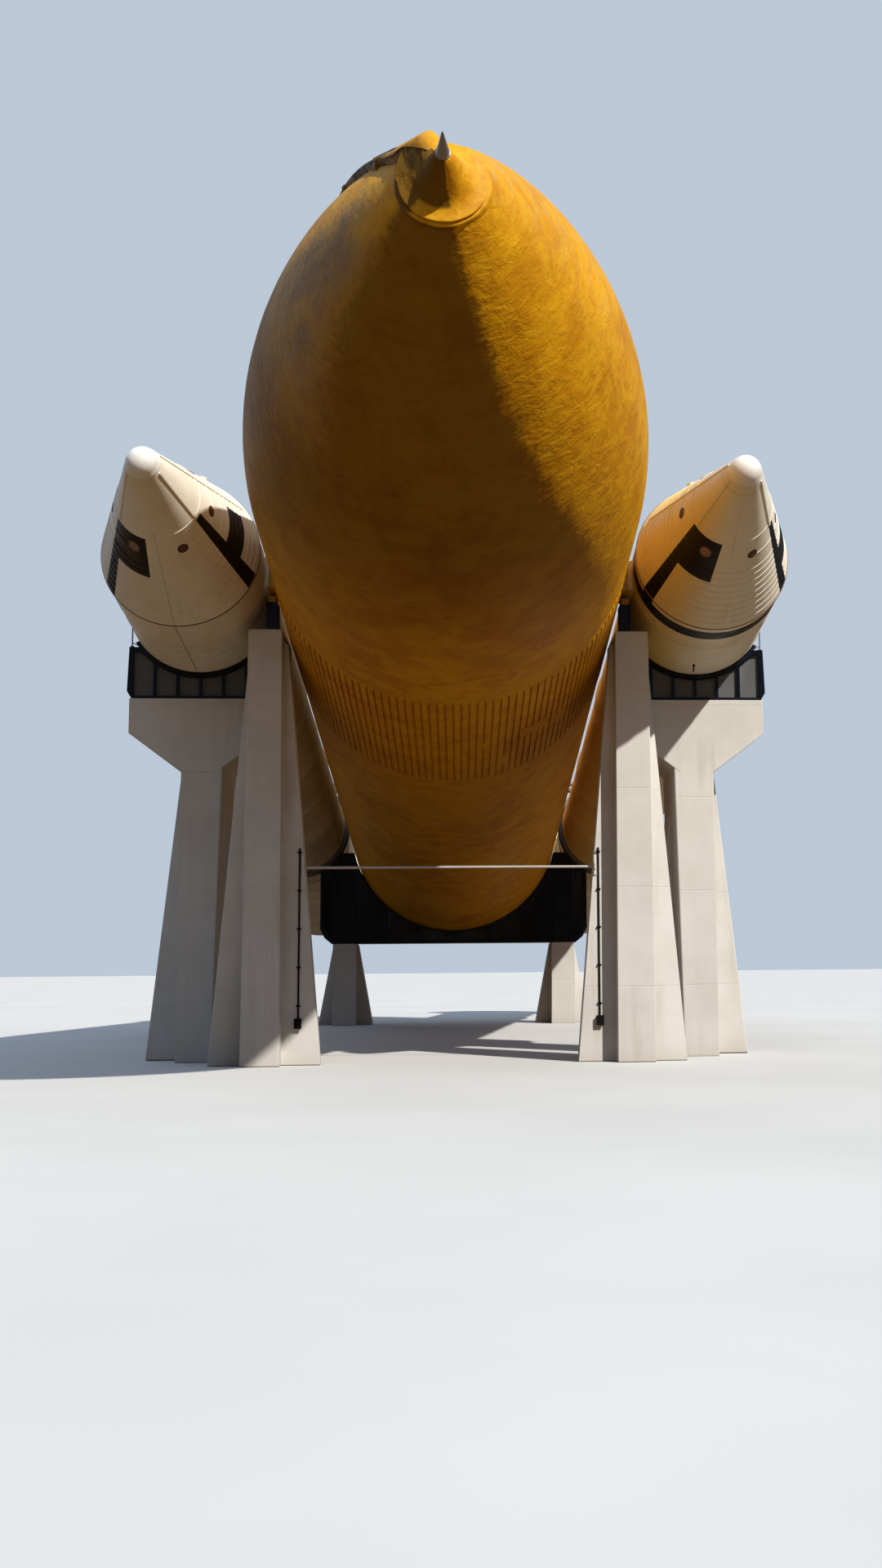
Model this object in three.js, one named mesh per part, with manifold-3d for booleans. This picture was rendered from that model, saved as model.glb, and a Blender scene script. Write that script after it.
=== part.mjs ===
// Space rocket parked nose-up on concrete piers: one large tank, two side boosters, steel cradles.
// Every length below is in metres of the full-size rocket; modelScale turns it into model millimetres.
import * as THREE from 'three';
import { mergeVertices } from 'three/addons/utils/BufferGeometryUtils.js';
import Module from 'manifold-3d';

const wasm = await Module();
wasm.setup();

// Scale and placing
const modelScale = 500;             // millimetres per full-size metre: a 1:2 model
const stackTilt = 8.3;              // degrees, nose up
const stackOrigin = [0, -27.437, 14.29];   // station 0 of the stack, above the ground
const gap = 0.0006;                 // between touching pieces, 0.3 mm on the model

// Tank, stations measured back from station 0 along its axis
const tankSides = 72;
const tankRadius = 4.204;
const ogiveRadius = 15.545;
const ogiveInset = 11.341;
const ogiveEnd = 10.72;
const spikeTip = -0.3;
const spikeBase = 0.2;
const oxygenFront = 0.885;
const intertankFront = 13.47;
const intertankBack = 20.5;
const hydrogenBack = 44.08;
const domeBack = 47.0;
const ribCount = 144;
const ribTop = 0.015;               // above the smooth skin
const ogiveSteps = 14;

// Boosters, stations measured back from their own tip
const boosterSides = 48;
const boosterOffset = 6.363;        // sideways from the tank axis
const boosterTip = 10;              // station of the booster tip on the tank axis
const boosterRadius = 1.854;
const coneAngle = 18;
const capEnd = 0.36;
const coneEnd = 4.953;
const skirtEnd = 8.2;
const motorJoints = [16.55, 24.68, 32.8];
const attachRingEnd = 33.5;
const motorEnd = 41.58;
const aftSkirtEnd = 43.96;
const aftSkirtRadius = 2.644;
const nozzlePivot = 42.6;           // where the two hinge axes of a nozzle cross
const nozzleEnd = 45.48;

// Supports, on the ground frame: x to the right, y towards the tail, z up
const innerPierX = 4.47;
const rearPierX = 4.47;

// Helpers for closed shapes

function weld(geometry) {
  const bare = geometry.clone();
  bare.deleteAttribute('normal');
  bare.deleteAttribute('uv');
  const merged = mergeVertices(bare, 1e-5);
  const kept = [];
  const index = merged.index.array;
  for (let i = 0; i < index.length; i += 3) {
    const [a, b, c] = [index[i], index[i + 1], index[i + 2]];
    if (a !== b && b !== c && c !== a) kept.push(a, b, c);
  }
  merged.setIndex(kept);
  return merged;
}

function toSolid(geometry) {
  const merged = weld(geometry);
  return new wasm.Manifold(new wasm.Mesh({
    numProp: 3,
    vertProperties: new Float32Array(merged.attributes.position.array),
    triVerts: new Uint32Array(merged.index.array),
  }));
}

function toGeometry(solid) {
  const mesh = solid.getMesh();
  const geometry = new THREE.BufferGeometry();
  geometry.setAttribute('position', new THREE.BufferAttribute(mesh.vertProperties, 3));
  geometry.setIndex(new THREE.BufferAttribute(mesh.triVerts, 1));
  return geometry;
}

function join(first, ...others) {
  return toGeometry(others.reduce((sum, other) => sum.add(toSolid(other)), toSolid(first)));
}

function cut(first, ...tools) {
  return toGeometry(tools.reduce((rest, tool) => rest.subtract(toSolid(tool)), toSolid(first)));
}

// A solid of revolution about +Y from [radius, station] points that start and end on the axis.
function revolve(points, sides) {
  return new THREE.LatheGeometry(points.map(([r, y]) => new THREE.Vector2(r, y)), sides);
}

// A flat outline in x and z, pushed along +Y from yFront to yBack.
function slabXZ(outline, yFront, yBack) {
  const shape = new THREE.Shape(outline.map(([x, z]) => new THREE.Vector2(x, -z)));
  const geometry = new THREE.ExtrudeGeometry(shape, { depth: yBack - yFront, bevelEnabled: false });
  geometry.rotateX(-Math.PI / 2);
  geometry.translate(0, yFront, 0);
  return geometry;
}

function boxBetween([x0, y0, z0], [x1, y1, z1]) {
  const geometry = new THREE.BoxGeometry(x1 - x0, y1 - y0, z1 - z0);
  geometry.translate((x0 + x1) / 2, (y0 + y1) / 2, (z0 + z1) / 2);
  return geometry;
}

// A round bar from one point to another.
function rod(from, to, radius, sides = 16) {
  const start = new THREE.Vector3(...from);
  const end = new THREE.Vector3(...to);
  const axis = end.clone().sub(start);
  const geometry = new THREE.CylinderGeometry(radius, radius, axis.length(), sides);
  geometry.translate(0, axis.length() / 2, 0);
  geometry.applyQuaternion(new THREE.Quaternion().setFromUnitVectors(
    new THREE.Vector3(0, 1, 0), axis.normalize()));
  geometry.translate(start.x, start.y, start.z);
  return geometry;
}

// A pipe of the given radius through a list of points.
function pipe(points, radius, steps, sides = 12) {
  const section = new THREE.Shape();
  for (let i = 0; i < sides; i += 1) {
    const turn = (2 * Math.PI * i) / sides;
    const [x, y] = [radius * Math.cos(turn), radius * Math.sin(turn)];
    if (i === 0) section.moveTo(x, y);
    else section.lineTo(x, y);
  }
  section.closePath();
  const path = new THREE.CatmullRomCurve3(points.map((p) => new THREE.Vector3(...p)), false, 'centripetal');
  return new THREE.ExtrudeGeometry(section, { steps, extrudePath: path, bevelEnabled: false });
}

// A closed skin over cross-sections: equally long rings of [x, y, z] points, one behind the other.
function loft(rings) {
  const count = rings[0].length;
  const positions = rings.flat(2);
  const index = [];
  for (let i = 0; i + 1 < rings.length; i += 1) {
    for (let k = 0; k < count; k += 1) {
      const [a, b] = [i * count + k, i * count + ((k + 1) % count)];
      index.push(a, a + count, b, b, a + count, b + count);
    }
  }
  const last = (rings.length - 1) * count;
  for (let k = 1; k + 1 < count; k += 1) {
    index.push(0, k, k + 1);
    index.push(last, last + k + 1, last + k);
  }
  const geometry = new THREE.BufferGeometry();
  geometry.setAttribute('position', new THREE.Float32BufferAttribute(positions, 3));
  geometry.setIndex(index);
  return geometry;
}

// Turns a shape that stands on the +X side of the stack axis to another angle about that axis.
function turned(geometry, degrees) {
  return geometry.rotateY(THREE.MathUtils.degToRad(-degrees));
}

// Outlines of the tank and the boosters

function tankSkin(station) {
  if (station >= ogiveEnd) return tankRadius;
  return Math.sqrt(ogiveRadius ** 2 - (ogiveEnd - station) ** 2) - ogiveInset;
}

function tankProfile(from, to, steps) {
  const points = [];
  for (let i = 0; i <= steps; i += 1) {
    const station = from + ((to - from) * i) / steps;
    points.push([tankSkin(station), station]);
  }
  return points;
}

function domeProfile() {
  const points = [];
  for (let turn = 0; turn <= 90; turn += 10) {
    const angle = THREE.MathUtils.degToRad(turn);
    points.push([tankRadius * Math.cos(angle), hydrogenBack + (domeBack - hydrogenBack) * Math.sin(angle)]);
  }
  points[points.length - 1][0] = 0;
  return points;
}

const coneRadius = (station) => 0.323 + (station - 0.235) * Math.tan(THREE.MathUtils.degToRad(coneAngle));

// Materials

const finishes = {
  foam: { color: 0xc8860f, roughness: 0.9, metalness: 0 },
  foamDark: { color: 0xa86e12, roughness: 0.9, metalness: 0 },
  spike: { color: 0x8d9094, roughness: 0.4, metalness: 0.8 },
  white: { color: 0xe6dfcc, roughness: 0.55, metalness: 0 },
  capWhite: { color: 0xf4f1e8, roughness: 0.45, metalness: 0 },
  greySteel: { color: 0x73767a, roughness: 0.5, metalness: 0.6 },
  darkMetal: { color: 0x35312e, roughness: 0.6, metalness: 0.5 },
  concrete: { color: 0xcfc5b2, roughness: 0.95, metalness: 0 },
  cradle: { color: 0x16171c, roughness: 0.45, metalness: 0.3 },
  yellow: { color: 0xd69a12, roughness: 0.6, metalness: 0.1 },
};

const rocket = new THREE.Group();
const stack = new THREE.Group();
const supports = new THREE.Group();
stack.position.set(...stackOrigin.map((value) => value * modelScale));
stack.rotation.x = THREE.MathUtils.degToRad(-stackTilt);
rocket.add(stack, supports);

function addPart(group, name, geometry, finish) {
  const closed = weld(geometry).scale(modelScale, modelScale, modelScale);
  closed.computeVertexNormals();
  const mesh = new THREE.Mesh(closed, new THREE.MeshStandardMaterial(finishes[finish]));
  mesh.name = name;
  group.add(mesh);
}

// Tank

addPart(stack, 'tank_spike', revolve([
  [0, spikeTip], [0.013, spikeTip + 0.013], [0.106, 0.155], [0.106, spikeBase - gap], [0, spikeBase - gap],
], 20), 'spike');

// A slender cone stands on a flat shoulder; a groove parts it from the rolled front edge of the ogive.
const coneOutline = [
  [0.125, spikeBase], [0.462, 0.815], [0.5, 0.835], [0.68, 0.842], [0.7, 0.848], [0.7, 0.857],
];
addPart(stack, 'tank_nose_cone', revolve([
  [0, spikeBase], ...coneOutline, [0.655, 0.864], [0.655, oxygenFront - gap], [0, oxygenFront - gap],
], tankSides), 'foam');

const lipOutline = [[0.7, oxygenFront], [0.73, 0.895], [0.748, 0.912], [0.752, 0.932]];
const oxygenOutline = [...lipOutline, ...tankProfile(0.95, ogiveEnd, ogiveSteps)];
addPart(stack, 'tank_oxygen_section', revolve([
  [0, oxygenFront], ...oxygenOutline, [tankRadius, intertankFront - gap], [0, intertankFront - gap],
], tankSides), 'foam');

const ribShape = new THREE.Shape();
for (let i = 0; i < ribCount; i += 1) {
  const pitch = 360 / ribCount;
  for (const [part, height] of [[0, -0.02], [0.3, -0.02], [0.42, ribTop], [0.88, ribTop]]) {
    const angle = THREE.MathUtils.degToRad((i + part) * pitch);
    const radius = tankRadius + height;
    const [x, y] = [radius * Math.cos(angle), radius * Math.sin(angle)];
    if (i === 0 && part === 0) ribShape.moveTo(x, y);
    else ribShape.lineTo(x, y);
  }
}
const ribDepth = intertankBack - intertankFront;
const ribs = new THREE.ExtrudeGeometry(ribShape, { depth: ribDepth, bevelEnabled: false });
addPart(stack, 'tank_intertank', ribs.rotateX(-Math.PI / 2).translate(0, intertankFront, 0), 'foam');

addPart(stack, 'tank_hydrogen_section', revolve([
  [0, intertankBack + gap], [tankRadius, intertankBack + gap], ...domeProfile(),
], tankSides), 'foam');

// Lines along the tank. Each strip lies in one meridian plane and is turned to its angle afterwards.

const lineAngle = 121.5;            // degrees about the axis, from the +X side over the top
const stations = (from, to, count) => Array.from(
  { length: count + 1 }, (_, i) => from + ((to - from) * i) / count);
const skin = gap * 3;
const ribCrest = tankRadius + ribTop + 0.008;
const skinTool = revolve([
  [0, spikeBase - skin],
  ...[...coneOutline, ...oxygenOutline].map(([r, station]) => [r + skin, station - skin]),
  [tankRadius + skin, intertankFront - skin], [ribCrest, intertankFront - skin],
  [ribCrest, intertankBack + skin], [tankRadius + skin, intertankBack + skin],
  [tankRadius + skin, hydrogenBack], [0, hydrogenBack + 0.5],
], tankSides);

// A tray that lies on the skin, set sideways from the meridian plane of the lines
function tray(from, to, height, width, sideways) {
  const count = from < ogiveEnd ? 14 : 1;
  const outer = stations(from, to, count).map((station) => [tankSkin(station) + height, station]);
  const inner = stations(from, to, count).map((station) => [tankSkin(station) - 0.15, station]).reverse();
  const shape = new THREE.Shape([...outer, ...inner].map(([r, station]) => new THREE.Vector2(r, station)));
  const geometry = new THREE.ExtrudeGeometry(shape, { depth: width, bevelEnabled: false });
  return turned(geometry.translate(0, 0, sideways - width / 2), lineAngle);
}

function foot(station, length, width, height, sideways) {
  const base = tankSkin(station);
  return turned(boxBetween(
    [base - 0.25, station - length / 2, sideways - width / 2],
    [base + height, station + length / 2, sideways + width / 2]), lineAngle);
}

const trayPlaces = [
  // name, from, to, height, width, sideways, feet, foot height
  ['oxygen_cable_tray', 1.5, intertankFront - 0.15, 0.16, 0.24, 0.27, 9, 0.08],
  ['hydrogen_cable_tray', intertankBack + 0.3, 40.9, 0.17, 0.3, 0.42, 14, 0.08],
];
for (const [name, from, to, height, width, sideways, feet, footHeight] of trayPlaces) {
  addPart(stack, name, cut(
    join(
      tray(from, to, height, width, sideways),
      ...stations(from + 0.6, to - 0.4, feet).map((station) => foot(
        station, 0.16, width + 0.08, footHeight, sideways)),
    ),
    skinTool,
  ), 'foamDark');
}

const pressureHeight = 0.11;
const pressurePath = stations(1.55, ogiveEnd, 12).map(
  (station) => [tankSkin(station) + pressureHeight, station, 0]);
const pressureRun = tankRadius + pressureHeight;
addPart(stack, 'pressure_line', cut(
  join(
    turned(pipe(pressurePath, 0.055, 16, 8), lineAngle),
    turned(rod([pressureRun, ogiveEnd - 0.02, 0], [pressureRun, 40.9, 0], 0.055, 8), lineAngle),
    ...stations(2.6, 40.6, 18).map((station) => foot(station, 0.12, 0.16, 0.12, 0)),
  ),
  skinTool,
), 'foamDark');

const feedlineSide = 1.15;
const feedlineHeight = tankRadius + 0.28;
addPart(stack, 'oxygen_feedline', cut(
  join(
    turned(pipe([
      [feedlineHeight - 0.75, 18.85, feedlineSide], [feedlineHeight - 0.3, 18.9, feedlineSide],
      [feedlineHeight - 0.03, 19.25, feedlineSide], [feedlineHeight, 19.8, feedlineSide],
      [feedlineHeight, 20.2, feedlineSide],
    ], 0.216, 10, 16), lineAngle),
    turned(rod(
      [feedlineHeight, 20.18, feedlineSide], [feedlineHeight, 40.9, feedlineSide], 0.216, 16), lineAngle),
    ...stations(23, 40.4, 6).map((station) => foot(station, 0.22, 0.3, 0.2, feedlineSide)),
  ),
  skinTool,
), 'foamDark');

// The hood over the front end of the lines: a blunt rounded ridge, a shoulder beside it with a lip,
// and below the lip a flank that spreads on the shoulder of the cone and stops short at the ring.
const hoodRings = [
  // station, ridge radius, ridge from, ridge to, lip across, lip radius, foot across, foot radius
  [0.42, 0.36, -0.1, 0.04, 0.09, 0.33, 0.13, 0.2],
  [0.46, 0.61, -0.19, 0.05, 0.13, 0.42, 0.17, 0.2],
  [0.52, 0.68, -0.23, 0.06, 0.16, 0.5, 0.22, 0.2],
  [0.61, 0.735, -0.25, 0.07, 0.2, 0.62, 0.29, 0.24],
  [0.74, 0.82, -0.26, 0.08, 0.26, 0.76, 0.42, 0.32],
  [0.85, 0.895, -0.26, 0.08, 0.305, 0.825, 0.61, 0.44],
  [0.88, 0.91, -0.26, 0.08, 0.32, 0.84, 0.325, 0.6],
  [1.05, 1.025, -0.25, 0.09, 0.36, 0.92, 0.365, 0.7],
  [1.28, 1.175, -0.22, 0.1, 0.39, 1.085, 0.395, 0.85],
  [1.49, 1.315, -0.17, 0.1, 0.39, 1.25, 0.395, 0.95],
];
const hood = loft(hoodRings.map(([station, ridge, from, to, lipSide, lip, footSide, footRadius]) => [
  [0.02, from], [ridge * 0.75, from], [ridge - 0.05, from + 0.03], [ridge, from + 0.09], [ridge, to - 0.05],
  [ridge - 0.025, to], [lip, lipSide], [footRadius, footSide], [footRadius * 0.6, footSide * 0.1],
].map(([radius, across]) => [radius, station, across])));
addPart(stack, 'nose_fairing', cut(turned(hood, lineAngle), skinTool), 'foam');

// Fittings on top of the tank
const bipodLegs = [-1, 1].map((side) => rod([side * 1.2, 20.9, 3.9], [0, 20.0, 5.3], 0.09));
addPart(stack, 'forward_bipod', cut(
  join(...bipodLegs, rod([-0.3, 20.0, 5.3], [0.3, 20.0, 5.3], 0.16), ...[-1, 1].map((side) => boxBetween(
    [side * 1.2 - 0.2, 20.65, 3.7], [side * 1.2 + 0.2, 21.15, 4.25]))),
  skinTool,
), 'greySteel');

const crossbeamPieces = [boxBetween([-2.7, 43.55, 4.75], [2.7, 43.95, 5.05])];
for (const side of [-1, 1]) {
  crossbeamPieces.push(
    rod([side * 2.45, 43.75, 3.2], [side * 2.45, 43.75, 5.0], 0.14),
    rod([side * 2.45, 41.5, 3.3], [side * 2.45, 43.75, 4.95], 0.12),
    rod([side * 1.1, 43.75, 3.9], [side * 2.3, 43.75, 4.9], 0.1),
    rod([side * 2.45, 43.75, 4.95], [side * 2.45, 43.75, 5.35], 0.2),
  );
}
addPart(stack, 'aft_crossbeam', cut(join(...crossbeamPieces), skinTool), 'greySteel');

// Boosters

const boosterTool = revolve([
  [0, 1], [boosterRadius + gap, 1], [boosterRadius + gap, 32.75], [2.02 + gap, 32.75],
  [2.02 + gap, 33.55], [boosterRadius + gap, 33.55], [boosterRadius + gap, 41], [0, 41],
], boosterSides);

function boosterParts(side, prefix) {
  const place = (geometry) => geometry.translate(side * boosterOffset, boosterTip, 0);
  const round = (name, points, finish) => addPart(
    stack, `${prefix}_${name}`, place(revolve(points, boosterSides)), finish);

  const capPoints = [[0, 0]];
  for (let turn = 18; turn <= 72; turn += 18) {
    const angle = THREE.MathUtils.degToRad(turn);
    capPoints.push([0.34 * Math.sin(angle), 0.34 - 0.34 * Math.cos(angle)]);
  }
  round('nose_cap', [...capPoints, [coneRadius(capEnd), capEnd - gap], [0, capEnd - gap]], 'capWhite');
  round('cone', [
    [0, capEnd], [coneRadius(capEnd), capEnd], [boosterRadius, coneEnd - gap], [0, coneEnd - gap],
  ], 'white');
  round('forward_skirt', [
    [0, coneEnd], [boosterRadius, coneEnd], [boosterRadius, skirtEnd - gap], [0, skirtEnd - gap],
  ], 'white');

  const motorStarts = [skirtEnd, ...motorJoints];
  const motorNames = ['motor_forward', 'motor_centre_forward', 'motor_centre_aft'];
  motorNames.forEach((name, i) => {
    const [front, back] = [motorStarts[i], motorStarts[i + 1]];
    round(name, [
      [0, front], [boosterRadius, front], [boosterRadius, back - 0.34], [boosterRadius + 0.03, back - 0.3],
      [boosterRadius + 0.03, back - gap], [0, back - gap],
    ], 'white');
  });
  round('attach_ring', [
    [0, 32.8], [2.02, 32.8], [2.02, 32.92], [1.88, 32.96], [1.88, 33.34], [2.02, 33.38],
    [2.02, attachRingEnd - gap], [0, attachRingEnd - gap],
  ], 'greySteel');
  round('motor_aft', [
    [0, attachRingEnd], [boosterRadius, attachRingEnd], [boosterRadius, motorEnd - gap], [0, motorEnd - gap],
  ], 'white');

  // Skirt with a deep open well for the nozzle, and two posts that carry the gimbal ring
  const skirtShell = revolve([
    [0, motorEnd], [boosterRadius, motorEnd], [boosterRadius + 0.04, motorEnd + 0.1],
    [aftSkirtRadius, aftSkirtEnd - 0.12], [aftSkirtRadius, aftSkirtEnd], [aftSkirtRadius - 0.14, aftSkirtEnd],
    [1.75, 42.1], [0, 42.1],
  ], boosterSides);
  const posts = [-1, 1].map((end) => boxBetween(
    [end * 0.92 - 0.1, 42.0, -0.12], [end * 0.92 + 0.1, nozzlePivot + 0.14, 0.12]));
  const holdDowns = [45, 135, 225, 315].map((turn) => boxBetween([2.3, 43.3, -0.28], [2.74, aftSkirtEnd, 0.28])
    .rotateY(THREE.MathUtils.degToRad(turn)));
  addPart(stack, `${prefix}_aft_skirt`, place(join(skirtShell, ...posts, ...holdDowns)), 'white');

  // Ring between posts and bell; round pins on both hinge axes, 7 mm short of what they point at
  const ring = revolve([
    [0.62, nozzlePivot - 0.08], [0.78, nozzlePivot - 0.08], [0.78, nozzlePivot + 0.08],
    [0.62, nozzlePivot + 0.08], [0.62, nozzlePivot - 0.08],
  ], 32);
  const ringPins = [-1, 1].map((end) => rod(
    [end * 0.72, nozzlePivot, 0], [end * 0.806, nozzlePivot, 0], 0.05, 20));
  addPart(stack, `${prefix}_gimbal_ring`, place(join(ring, ...ringPins)), 'greySteel');

  const bell = revolve([
    [0, 42.35], [0.5, 42.35], [0.55, 42.4], [0.55, 42.86], [0.95, 43.25], [1.34, 43.9], [1.65, 44.7],
    [1.88, nozzleEnd], [1.8, nozzleEnd], [1.57, 44.72], [1.26, 43.96], [0.87, 43.33], [0.45, 42.9], [0, 42.85],
  ], boosterSides);
  const bellPins = [-1, 1].map((end) => rod(
    [0, nozzlePivot, end * 0.5], [0, nozzlePivot, end * 0.606], 0.05, 20));
  addPart(stack, `${prefix}_nozzle`, place(join(bell, ...bellPins)), 'darkMetal');

  const tunnelLow = boosterRadius + 0.035;
  const tunnel = boxBetween([tunnelLow, skirtEnd + 0.15, -0.13], [tunnelLow + 0.13, 32.7, 0.13]);
  addPart(stack, `${prefix}_systems_tunnel`, place(turned(tunnel, 90 - side * 25)), 'white');

  // Struts between the booster's ring and the tank's aft frame
  const ringStation = boosterTip + 33.15;
  const strutPieces = [
    rod([side * 5.6, ringStation, 1.55], [side * 3.6, ringStation + 0.1, 1.75], 0.1),
    rod([side * 5.6, ringStation, 1.55], [side * 3.6, ringStation + 0.1, 2.6], 0.1),
    boxBetween(side > 0 ? [4.95, ringStation - 0.16, 1.05] : [-5.45, ringStation - 0.16, 1.05],
      side > 0 ? [5.45, ringStation + 0.16, 1.75] : [-4.95, ringStation + 0.16, 1.75]),
  ];
  const struts = cut(join(...strutPieces), skinTool, place(boosterTool.clone()));
  addPart(stack, `${prefix}_aft_struts`, struts, 'greySteel');

  // Forward thrust fitting, on the intertank's side
  const fitting = boxBetween([-0.3, 16.2, -0.37], [0.3, 17.1, 0.28]).translate(side * 4.37, 0, 0);
  addPart(stack, `${prefix}_forward_fitting`, cut(fitting, skinTool, place(boosterTool.clone())), 'yellow');
}

boosterParts(-1, 'left');
boosterParts(1, 'right');

// Supports on the ground

const towards = (distance) => distance + stackOrigin[1];   // station on the ground, from below the nose

// A tapered outline about x = 0 with chamfered top corners.
function taper(topHalf, baseHalf, height, chamfer) {
  return [
    [-baseHalf, 0], [baseHalf, 0], [topHalf, height - chamfer], [topHalf - chamfer, height],
    [-topHalf + chamfer, height], [-topHalf, height - chamfer],
  ];
}

const innerPierTop = 10.49;
function innerPier(side) {
  const rib = slabXZ(taper(0.41, 0.465, innerPierTop, 0.03), towards(15.7), towards(17.75));
  const wing = slabXZ(taper(0.46, 1.33, 10.3, 0.1), towards(16.15), towards(16.5)).translate(side * -0.05, 0, 0);
  return join(rib, wing).translate(side * innerPierX, 0, 0);
}

const corbelTop = 9.14;
function outerPier(side) {
  const rib = slabXZ(taper(0.415, 0.44, corbelTop - 0.5, 0.02), towards(17.8), towards(20.0));
  const wing = slabXZ(taper(0.43, 1.34, 7.4, 0.02), towards(18.95), towards(19.95));
  const corbel = slabXZ([
    [-0.43, 7.25], [0.43, 7.25], [1.76, 8.25], [1.76, corbelTop], [-1.76, corbelTop], [-1.76, 8.25],
  ], towards(17.79), towards(20.1));
  return join(rib, wing, corbel).translate(side * boosterOffset, 0, 0);
}

// The stack's own cylinders, grown by a small clearance and placed on the ground frame
function inGround(geometry) {
  geometry.rotateX(THREE.MathUtils.degToRad(-stackTilt));
  return geometry.translate(...stackOrigin);
}
const seatClearance = 0.02;
const tankSeat = inGround(revolve([
  [0, 12], [tankRadius + ribTop + seatClearance, 12], [tankRadius + ribTop + seatClearance, 46], [0, 46],
], tankSides));
const boosterSeat = (side) => inGround(revolve([
  [0, 12], [boosterRadius + seatClearance, 12], [boosterRadius + seatClearance, boosterTip + 32.7],
  [2.02 + seatClearance, boosterTip + 32.7], [2.02 + seatClearance, boosterTip + 33.6],
  [boosterRadius + seatClearance, boosterTip + 33.6], [boosterRadius + seatClearance, 47], [0, 47],
], boosterSides).translate(side * boosterOffset, 0, 0));

// Steel cradle under a booster: flanged box with stiffeners either side of each recess
const saddleStiffeners = [-1.72, -1.15, -0.575, 0, 0.575, 1.15, 1.72];
function boosterCradle(side) {
  const front = towards(17.85);
  const back = towards(19.85);
  const outline = [
    [-1.72, corbelTop + gap], [1.72, corbelTop + gap], [1.84, corbelTop + 0.2], [1.8, 10.48], [-1.8, 10.48],
    [-1.84, corbelTop + 0.2],
  ];
  const body = slabXZ(outline, front, back);
  const pockets = [];
  const axisZ = stackOrigin[2] - 18 * Math.sin(THREE.MathUtils.degToRad(stackTilt));
  for (let i = 0; i + 1 < saddleStiffeners.length; i += 1) {
    const left = saddleStiffeners[i] + 0.035;
    const right = saddleStiffeners[i + 1] - 0.035;
    const upper = [];
    for (let k = 0; k <= 4; k += 1) {
      const x = right + ((left - right) * k) / 4;
      const arc = axisZ - Math.sqrt(Math.max(0, (boosterRadius + 0.16) ** 2 - x ** 2));
      upper.push([x, Math.min(10.36, arc)]);
    }
    const pocket = [[left, corbelTop + 0.08], [right, corbelTop + 0.08], ...upper];
    pockets.push(slabXZ(pocket, front - 0.1, front + 0.3));
    const rear = pocket.map(([x, z], index) => [x, index < 2 ? z : z - 0.3]);
    pockets.push(slabXZ(rear, back - 0.3, back + 0.1));
  }
  const shaped = cut(body, ...pockets);
  return cut(shaped.translate(side * boosterOffset, 0, 0), boosterSeat(side));
}

const postX = 4.375;
for (const [side, prefix] of [[-1, 'left'], [1, 'right']]) {
  addPart(supports, `${prefix}_inner_pier`, cut(innerPier(side), tankSeat, boosterSeat(side)), 'concrete');
  addPart(supports, `${prefix}_outer_pier`, outerPier(side), 'concrete');
  addPart(supports, `${prefix}_front_cradle`, boosterCradle(side), 'cradle');
  addPart(supports, `${prefix}_post`, boxBetween(
    [side * postX - 0.135, towards(16.2), innerPierTop + gap], [side * postX + 0.135, towards(16.7), 11.28],
  ), 'cradle');
  addPart(supports, `${prefix}_post_cap`, boxBetween(
    [side * postX - 0.09, towards(16.24), 11.28 + gap], [side * postX + 0.09, towards(16.66), 11.45],
  ), 'yellow');
}

// One wide cradle carries the tail of the tank and the inner sides of both boosters
const rearFront = towards(42.5);
const rearBack = towards(43.7);
const rearBottom = 3.3;
const rearTop = 7.03;
const rearStiffeners = [-5.4, -4.85, -4.1, -2.75, -1.38, 0, 1.38, 2.75, 4.1, 4.85, 5.4];
function rearCradle() {
  const half = [
    [5.0, rearBottom], [5.3, rearBottom + 0.25], [5.48, rearBottom + 0.62], [5.48, rearTop], [0, rearTop],
  ];
  const outline = [...half, ...half.slice(0, -1).reverse().map(([x, z]) => [-x, z])];
  const axisZ = stackOrigin[2] - 42.6 * Math.sin(THREE.MathUtils.degToRad(stackTilt));
  const pockets = [];
  for (let i = 0; i + 1 < rearStiffeners.length; i += 1) {
    const left = rearStiffeners[i] + 0.03;
    const right = rearStiffeners[i + 1] - 0.03;
    const floor = (x) => rearBottom + (Math.abs(x) > 5 ? 0.75 : 0.12);
    const upper = [];
    for (let k = 0; k <= 4; k += 1) {
      const x = right + ((left - right) * k) / 4;
      const underTank = axisZ - Math.sqrt(Math.max(0, (tankRadius + 0.2) ** 2 - x ** 2));
      const offAxis = Math.abs(x) - boosterOffset;
      const underBooster = axisZ - Math.sqrt(Math.max(0, (boosterRadius + 0.4) ** 2 - offAxis ** 2));
      upper.push([x, Math.min(rearTop - 0.12, underTank, underBooster)]);
    }
    pockets.push([[left, floor(left)], [right, floor(right)], ...upper]);
  }
  const recesses = pockets.flatMap((pocket) => [
    slabXZ(pocket, rearFront - 0.1, rearFront + 0.16), slabXZ(pocket, rearBack - 0.16, rearBack + 0.1),
  ]);
  const body = slabXZ(outline, rearFront, rearBack);
  return cut(body, ...recesses, tankSeat, boosterSeat(-1), boosterSeat(1));
}
addPart(supports, 'rear_cradle', rearCradle(), 'cradle');

for (const [side, prefix] of [[-1, 'left'], [1, 'right']]) {
  const rib = slabXZ(taper(0.465, 0.49, rearBottom - gap, 0.02), towards(42.3), towards(44));
  const wing = slabXZ(taper(0.5, 1.1, rearBottom - 0.02, 0.02), towards(43.1), towards(43.95));
  addPart(supports, `${prefix}_rear_pier`, join(rib, wing).translate(side * rearPierX, 0, 0), 'concrete');
}

// Rod between the flanks of the two inner piers
const tieRod = rod([-3.484, towards(16.32), 4.72], [3.484, towards(16.32), 4.72], 0.035, 12);
addPart(supports, 'tie_rod', tieRod, 'spike');

export default rocket;
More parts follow.
